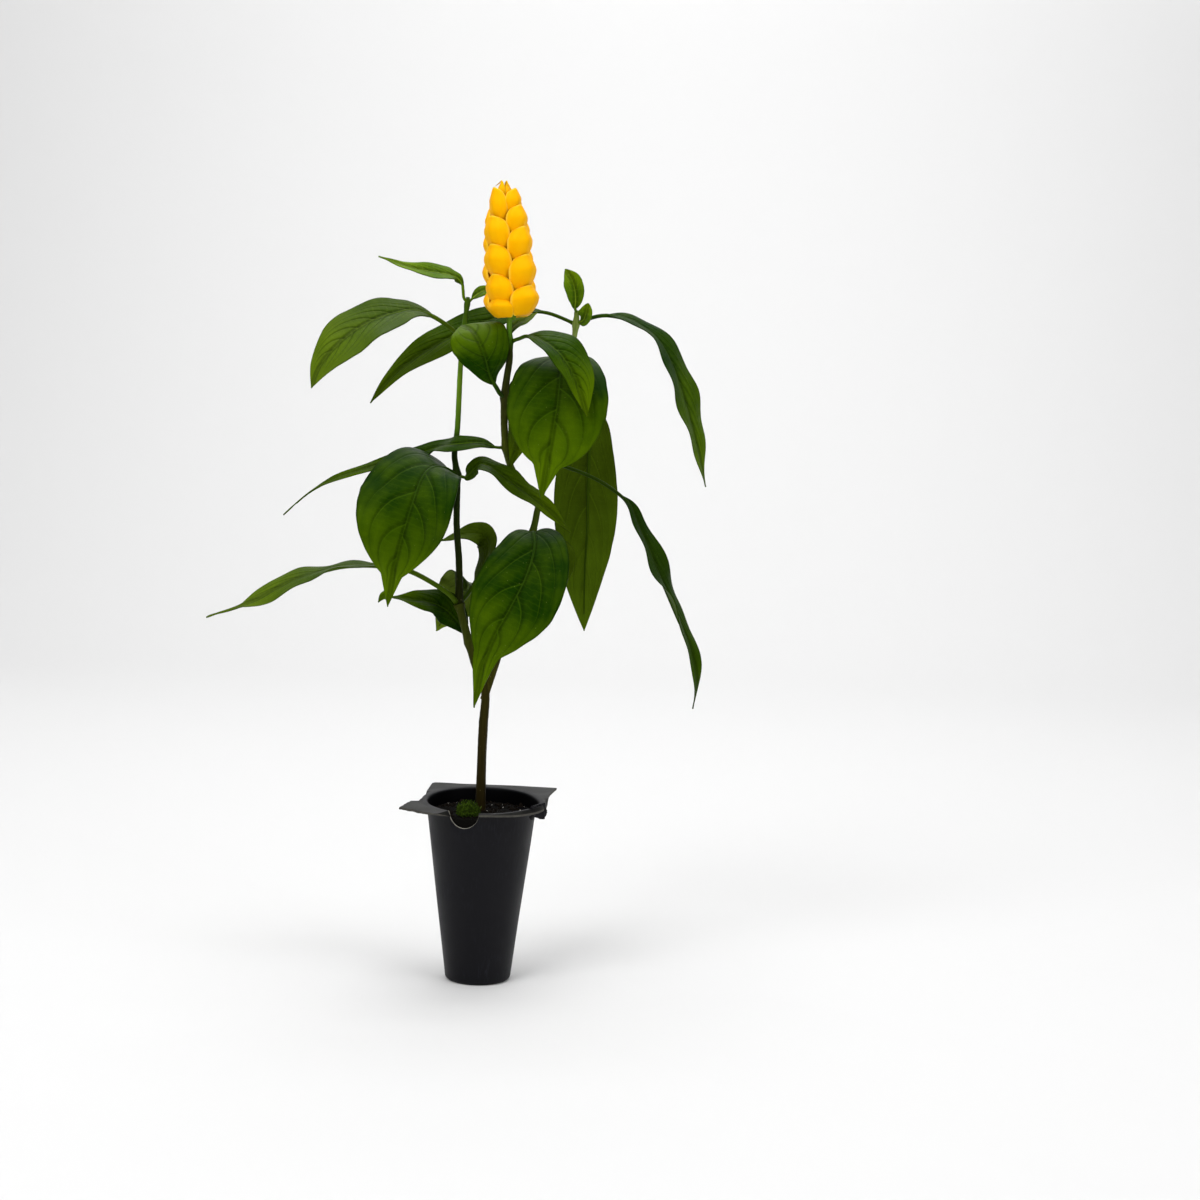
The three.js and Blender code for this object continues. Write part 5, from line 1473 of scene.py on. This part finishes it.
@dataclass(frozen=True)
class SoilPlug:
    """The potting mix with its grains, perlite, moss tuft and a thin seedling stalk."""

    top: float = 90.2
    rim: float = 27.0
    top_rings: tuple[float, ...] = (25, 22.5, 20, 17.5, 15, 12.5, 10, 7.5, 5, 2.5, 0.6)
    side_rings: tuple[tuple[float, float], ...] = ((26.2, 80), (18.5, 12), (14.6, 1.8))
    moss_at: tuple[float, float] = (-6.0, -16.0)
    moss_reach: float = 4.9
    moss_tall: float = 7.5
    moss_shoots: int = 300
    grains: int = 320
    perlite: int = 22

    def height(self, x: float, y: float) -> float:
        """Lays the soil's lumpy top.

        Args:
            x: the place to the right of the pot's axis.
            y: the place behind it.

        Returns:
            The height there.
        """
        lumps = 1.1 * noise.noise(Vector((x * 0.13, y * 0.13, 1.0)))
        crumbs = 0.5 * noise.noise(Vector((x * 0.45, y * 0.45, 4.0)))
        return self.top + (lumps + crumbs) - 0.6 * ease((math.hypot(x, y) - 20) / 8)

    def build(self) -> list[Piece]:
        """Builds the plug and what lies and grows on it.

        Returns:
            The pieces.
        """
        bark = Crumb("soil_bark_bits", "#080604", "#1e160d", 0.6)
        perlite = Crumb("soil_perlite_white", "#a9a69c", "#f2f0ea", 0.4)
        return [self._plug(), self._scatter("soil_grains", self.grains, (0.35, 1.1), bark.build(), 5),
                self._scatter("soil_perlite", self.perlite, (0.22, 0.48), perlite.build(), 11),
                self._moss(), self._seedling()]

    def _plug(self) -> Piece:
        """Builds the body of the plug: rings over its top from the rim inward, then rings down its side.

        Returns:
            The piece.
        """
        mesh = bmesh.new()
        ring = set(bmesh.ops.create_circle(mesh, segments=96, radius=self.rim, cap_ends=False)["verts"])
        edges = mesh.edges[:]
        for radius in self.top_rings:
            verts, edges = pull(mesh, edges)
            for v in verts:
                v.co *= radius / math.hypot(v.co.x, v.co.y)
        bmesh.ops.contextual_create(mesh, geom=edges)
        for v in mesh.verts:
            v.co.z = self.height(v.co.x, v.co.y)
        edges = [e for e in mesh.edges if all(v in ring for v in e.verts)]
        for radius, z in self.side_rings:
            verts, edges = pull(mesh, edges)
            for v in verts:
                scale = radius / math.hypot(v.co.x, v.co.y)
                v.co = Vector((v.co.x * scale, v.co.y * scale, z))
        bmesh.ops.contextual_create(mesh, geom=edges)
        bmesh.ops.recalc_face_normals(mesh, faces=mesh.faces)
        return finish_piece(mesh, "soil_plug", [Crumb("soil_peat", "#020201", "#0b0805", 1.4).build()],
                            ("soil",))

    def _scatter(self, name: str, count: int, sizes: tuple[float, float], stuff: Material,
                 seed: int) -> Piece:
        """Builds grains that lie on the soil.

        Args:
            name: the piece's name.
            count: how many grains.
            sizes: smallest and largest radius.
            stuff: their material.
            seed: fixes their places.

        Returns:
            The piece.
        """
        dice = random.Random(seed)
        mesh = bmesh.new()
        for _ in range(count):
            reach, turn = (self.rim - 0.5) * math.sqrt(dice.random()), dice.uniform(0, 2 * math.pi)
            x, y = reach * math.cos(turn), reach * math.sin(turn)
            size = dice.uniform(*sizes)
            lie = Matrix.Translation((x, y, self.height(x, y) + size * 0.25))
            lie @= Matrix.Rotation(dice.uniform(0, 6), 4, Vector((dice.random(), dice.random(), dice.random())))
            place = lie @ Matrix.Diagonal((size * dice.uniform(0.7, 1.5), size * dice.uniform(0.6, 1.1),
                                           size * dice.uniform(0.5, 0.9), 1))
            lump = bmesh.ops.create_icosphere(mesh, subdivisions=1, radius=1.0)["verts"]
            for v in lump:
                v.co *= dice.uniform(0.75, 1.2)
            bmesh.ops.transform(mesh, matrix=place, verts=lump)
        return finish_piece(mesh, name, [stuff], smooth=False)

    def _moss(self) -> Piece:
        """Builds the moss tuft as a dome of short leafy shoots.

        Returns:
            The piece.
        """
        dice = random.Random(29)
        mesh = bmesh.new()
        cx, cy = self.moss_at
        for _ in range(self.moss_shoots):
            reach, turn = math.sqrt(dice.random()), dice.uniform(0, 2 * math.pi)
            x, y = cx + self.moss_reach * reach * math.cos(turn), cy + self.moss_reach * 0.8 * reach * math.sin(turn)
            tall = self.moss_tall * dice.uniform(0.4, 1.05) * math.sqrt(max(0.08, 1 - reach ** 2))
            # Each shoot leans out from the middle and carries three small leaves at its top
            lean = 0.45 * reach
            tilt = Matrix.Rotation(-lean * math.sin(turn) + dice.uniform(-0.2, 0.2), 4, "X")
            tilt @= Matrix.Rotation(lean * math.cos(turn) + dice.uniform(-0.2, 0.2), 4, "Y")
            place = Matrix.Translation((x, y, self.height(x, y) - 0.3)) @ tilt
            shoot = bmesh.ops.create_cone(mesh, cap_ends=True, segments=5, radius1=0.5, radius2=0.3, depth=tall,
                                          matrix=Matrix.Translation((0, 0, tall / 2)))["verts"]
            for k in range(3):
                leaf = Matrix.Translation((0, 0, tall * (0.8 + 0.12 * k)))
                leaf @= Matrix.Rotation(2.1 * k + turn, 4, "Z") @ Matrix.Rotation(0.7, 4, "Y")
                shoot += bmesh.ops.create_cone(mesh, cap_ends=True, segments=4, radius1=0.34, radius2=0.02, depth=1.5,
                                               matrix=leaf @ Matrix.Translation((0, 0, 0.7)))["verts"]
            bmesh.ops.transform(mesh, matrix=place, verts=shoot)
        return finish_piece(mesh, "soil_moss", [Crumb("moss_green", "#142203", "#4f6b12", 0.8, 0.85).build()],
                            smooth=False)

    def _seedling(self) -> Piece:
        """Builds the thin pale stalk that stands beside the trunk's foot.

        Returns:
            The piece.
        """
        line = Spine([Vector((-2.2, -17, 89.5)), Vector((-0.9, -16.5, 92)), Vector((0.8, -16, 95.2))])
        mesh = bmesh.new()
        sweep(mesh, line.at, line.heading, lambda s, turn: 0.34 * (1 - 0.4 * s), stations=16, sides=8)
        return finish_piece(mesh, "soil_seedling", [Crumb("seedling_pale", "#4c5a20", "#6c7c38", 1.0, 0.6).build()])


@dataclass(frozen=True)
class Studio:
    """A pale seamless sweep, soft lights, and the camera that saw the plant.

    The camera's place is in millimetres. The lamps, each with its place, its goal, its size and its watts, and the
    sweep are in metres: its edges before and beside the plant, where its bend starts, the bend's radius, its top.
    """

    camera_at: Triple = (59.4, -1200.0, 318.7)
    pitch: float = 5.5
    roll: float = 1.6
    focal: float = 69.24
    paper: str = "#e2e2e2"
    surround: float = 0.28
    lamps: tuple[tuple[str, Triple, Triple, float, float], ...] = (
        ("key_light", (-0.9, -1.3, 1.5), (0, 0, 0.25), 1.0, 20),
        ("fill_light", (1.4, -1.1, 0.9), (0, 0, 0.25), 1.4, 12),
        ("top_light", (0.0, 0.0, 1.6), (0, 0, 0.2), 1.1, 14),
        ("back_light", (0.15, 1.0, 1.7), (0.1, 2.0, 0.5), 1.0, 14))
    front: float = 3.2
    side: float = 4.0
    bend_from: float = 1.2
    bend: float = 0.8
    top: float = 3.6

    def camera(self) -> Piece:
        """Places the camera and makes it the scene's.

        Returns:
            The camera.
        """
        data = bpy.data.cameras.new("photo_camera")
        data.lens, data.sensor_width, data.clip_start, data.clip_end = self.focal, 36.0, 0.02, 30.0
        camera = bpy.data.objects.new("photo_camera", data)
        camera.matrix_world = (Matrix.Translation(Vector(self.camera_at) * MM)
                               @ Matrix.Rotation(math.radians(90 - self.pitch), 4, "X")
                               @ Matrix.Rotation(math.radians(self.roll), 4, "Z"))
        bpy.context.scene.collection.objects.link(camera)
        bpy.context.scene.camera = camera
        return camera

    def sweep_paper(self) -> Piece:
        """Builds the floor that curves up behind into the backdrop.

        Returns:
            The floor.
        """
        mesh = bmesh.new()
        turns = [math.radians(d) for d in range(0, 91, 6)]
        profile = [(-self.front, 0.0)]
        profile += [(self.bend_from + self.bend * math.sin(a), self.bend * (1 - math.cos(a))) for a in turns]
        profile += [(self.bend_from + self.bend, self.top)]
        chain = [mesh.verts.new((-self.side, y, z)) for y, z in profile]
        edges = [mesh.edges.new(pair) for pair in zip(chain, chain[1:])]
        bmesh.ops.translate(mesh, vec=(2 * self.side, 0, 0), verts=pull(mesh, edges)[0])
        bmesh.ops.recalc_face_normals(mesh, faces=mesh.faces)
        for face in mesh.faces:
            face.smooth = True
        data = bpy.data.meshes.new("studio_paper")
        mesh.to_mesh(data)
        mesh.free()
        surface, tree, shader, _ = new_surface("studio_paper")
        feed(tree, shader, {"Base Color": linear(self.paper), "Roughness": 0.9})
        data.materials.append(surface)
        paper = bpy.data.objects.new("studio_paper", data)
        bpy.context.scene.collection.objects.link(paper)
        return paper

    def light(self, name: str, at: Triple, goal: Triple, size: float, watts: float) -> Piece:
        """Hangs one soft light.

        Args:
            name: the light's name.
            at: its place in metres.
            goal: what it looks at, in metres.
            size: the side of its square face in metres.
            watts: its power.

        Returns:
            The light.
        """
        data = bpy.data.lights.new(name, "AREA")
        data.energy, data.size, data.shape = watts, size, "SQUARE"
        lamp = bpy.data.objects.new(name, data)
        lamp.location = at
        lamp.rotation_euler = (Vector(goal) - Vector(at)).to_track_quat("-Z", "Y").to_euler()
        bpy.context.scene.collection.objects.link(lamp)
        return lamp

    def build(self) -> None:
        """Sets up the camera, the sweep, the lights and the soft surround."""
        self.camera()
        self.sweep_paper()
        for lamp in self.lamps:
            self.light(*lamp)
        world = bpy.data.worlds.new("studio")
        world.use_nodes = True
        feed(world.node_tree, world.node_tree.nodes["Background"], {"Color": (1, 1, 1, 1), "Strength": self.surround})
        bpy.context.scene.world = world
        bpy.context.scene.view_settings.view_transform = "Standard"


@dataclass(frozen=True)
class ShrimpPlant:
    """The whole potted plant, built from the pot up."""

    pot: PlugPot = field(default_factory=PlugPot)
    soil: SoilPlug = field(default_factory=SoilPlug)
    spike: GoldenSpike = field(default_factory=GoldenSpike)

    def build(self) -> list[Piece]:
        """Builds every piece.

        Returns:
            The pieces.
        """
        pieces = [*self.pot.build(), *self.soil.build()]
        pieces += [shoot.build() for shoot in SHOOTS]
        skins = LeafSkins()
        pieces += [leaf.build(skins) for leaf in LEAVES]
        pieces += self.spike.build()
        return pieces


def main() -> None:
    """Builds the studio and the plant, and logs how many pieces there are."""
    logging.basicConfig(level=logging.INFO, format="%(message)s")
    Studio().build()
    pieces = ShrimpPlant().build()
    log.info("%d pieces", len(pieces))
    bpy.context.view_layer.update()


if __name__ == "__main__":
    main()
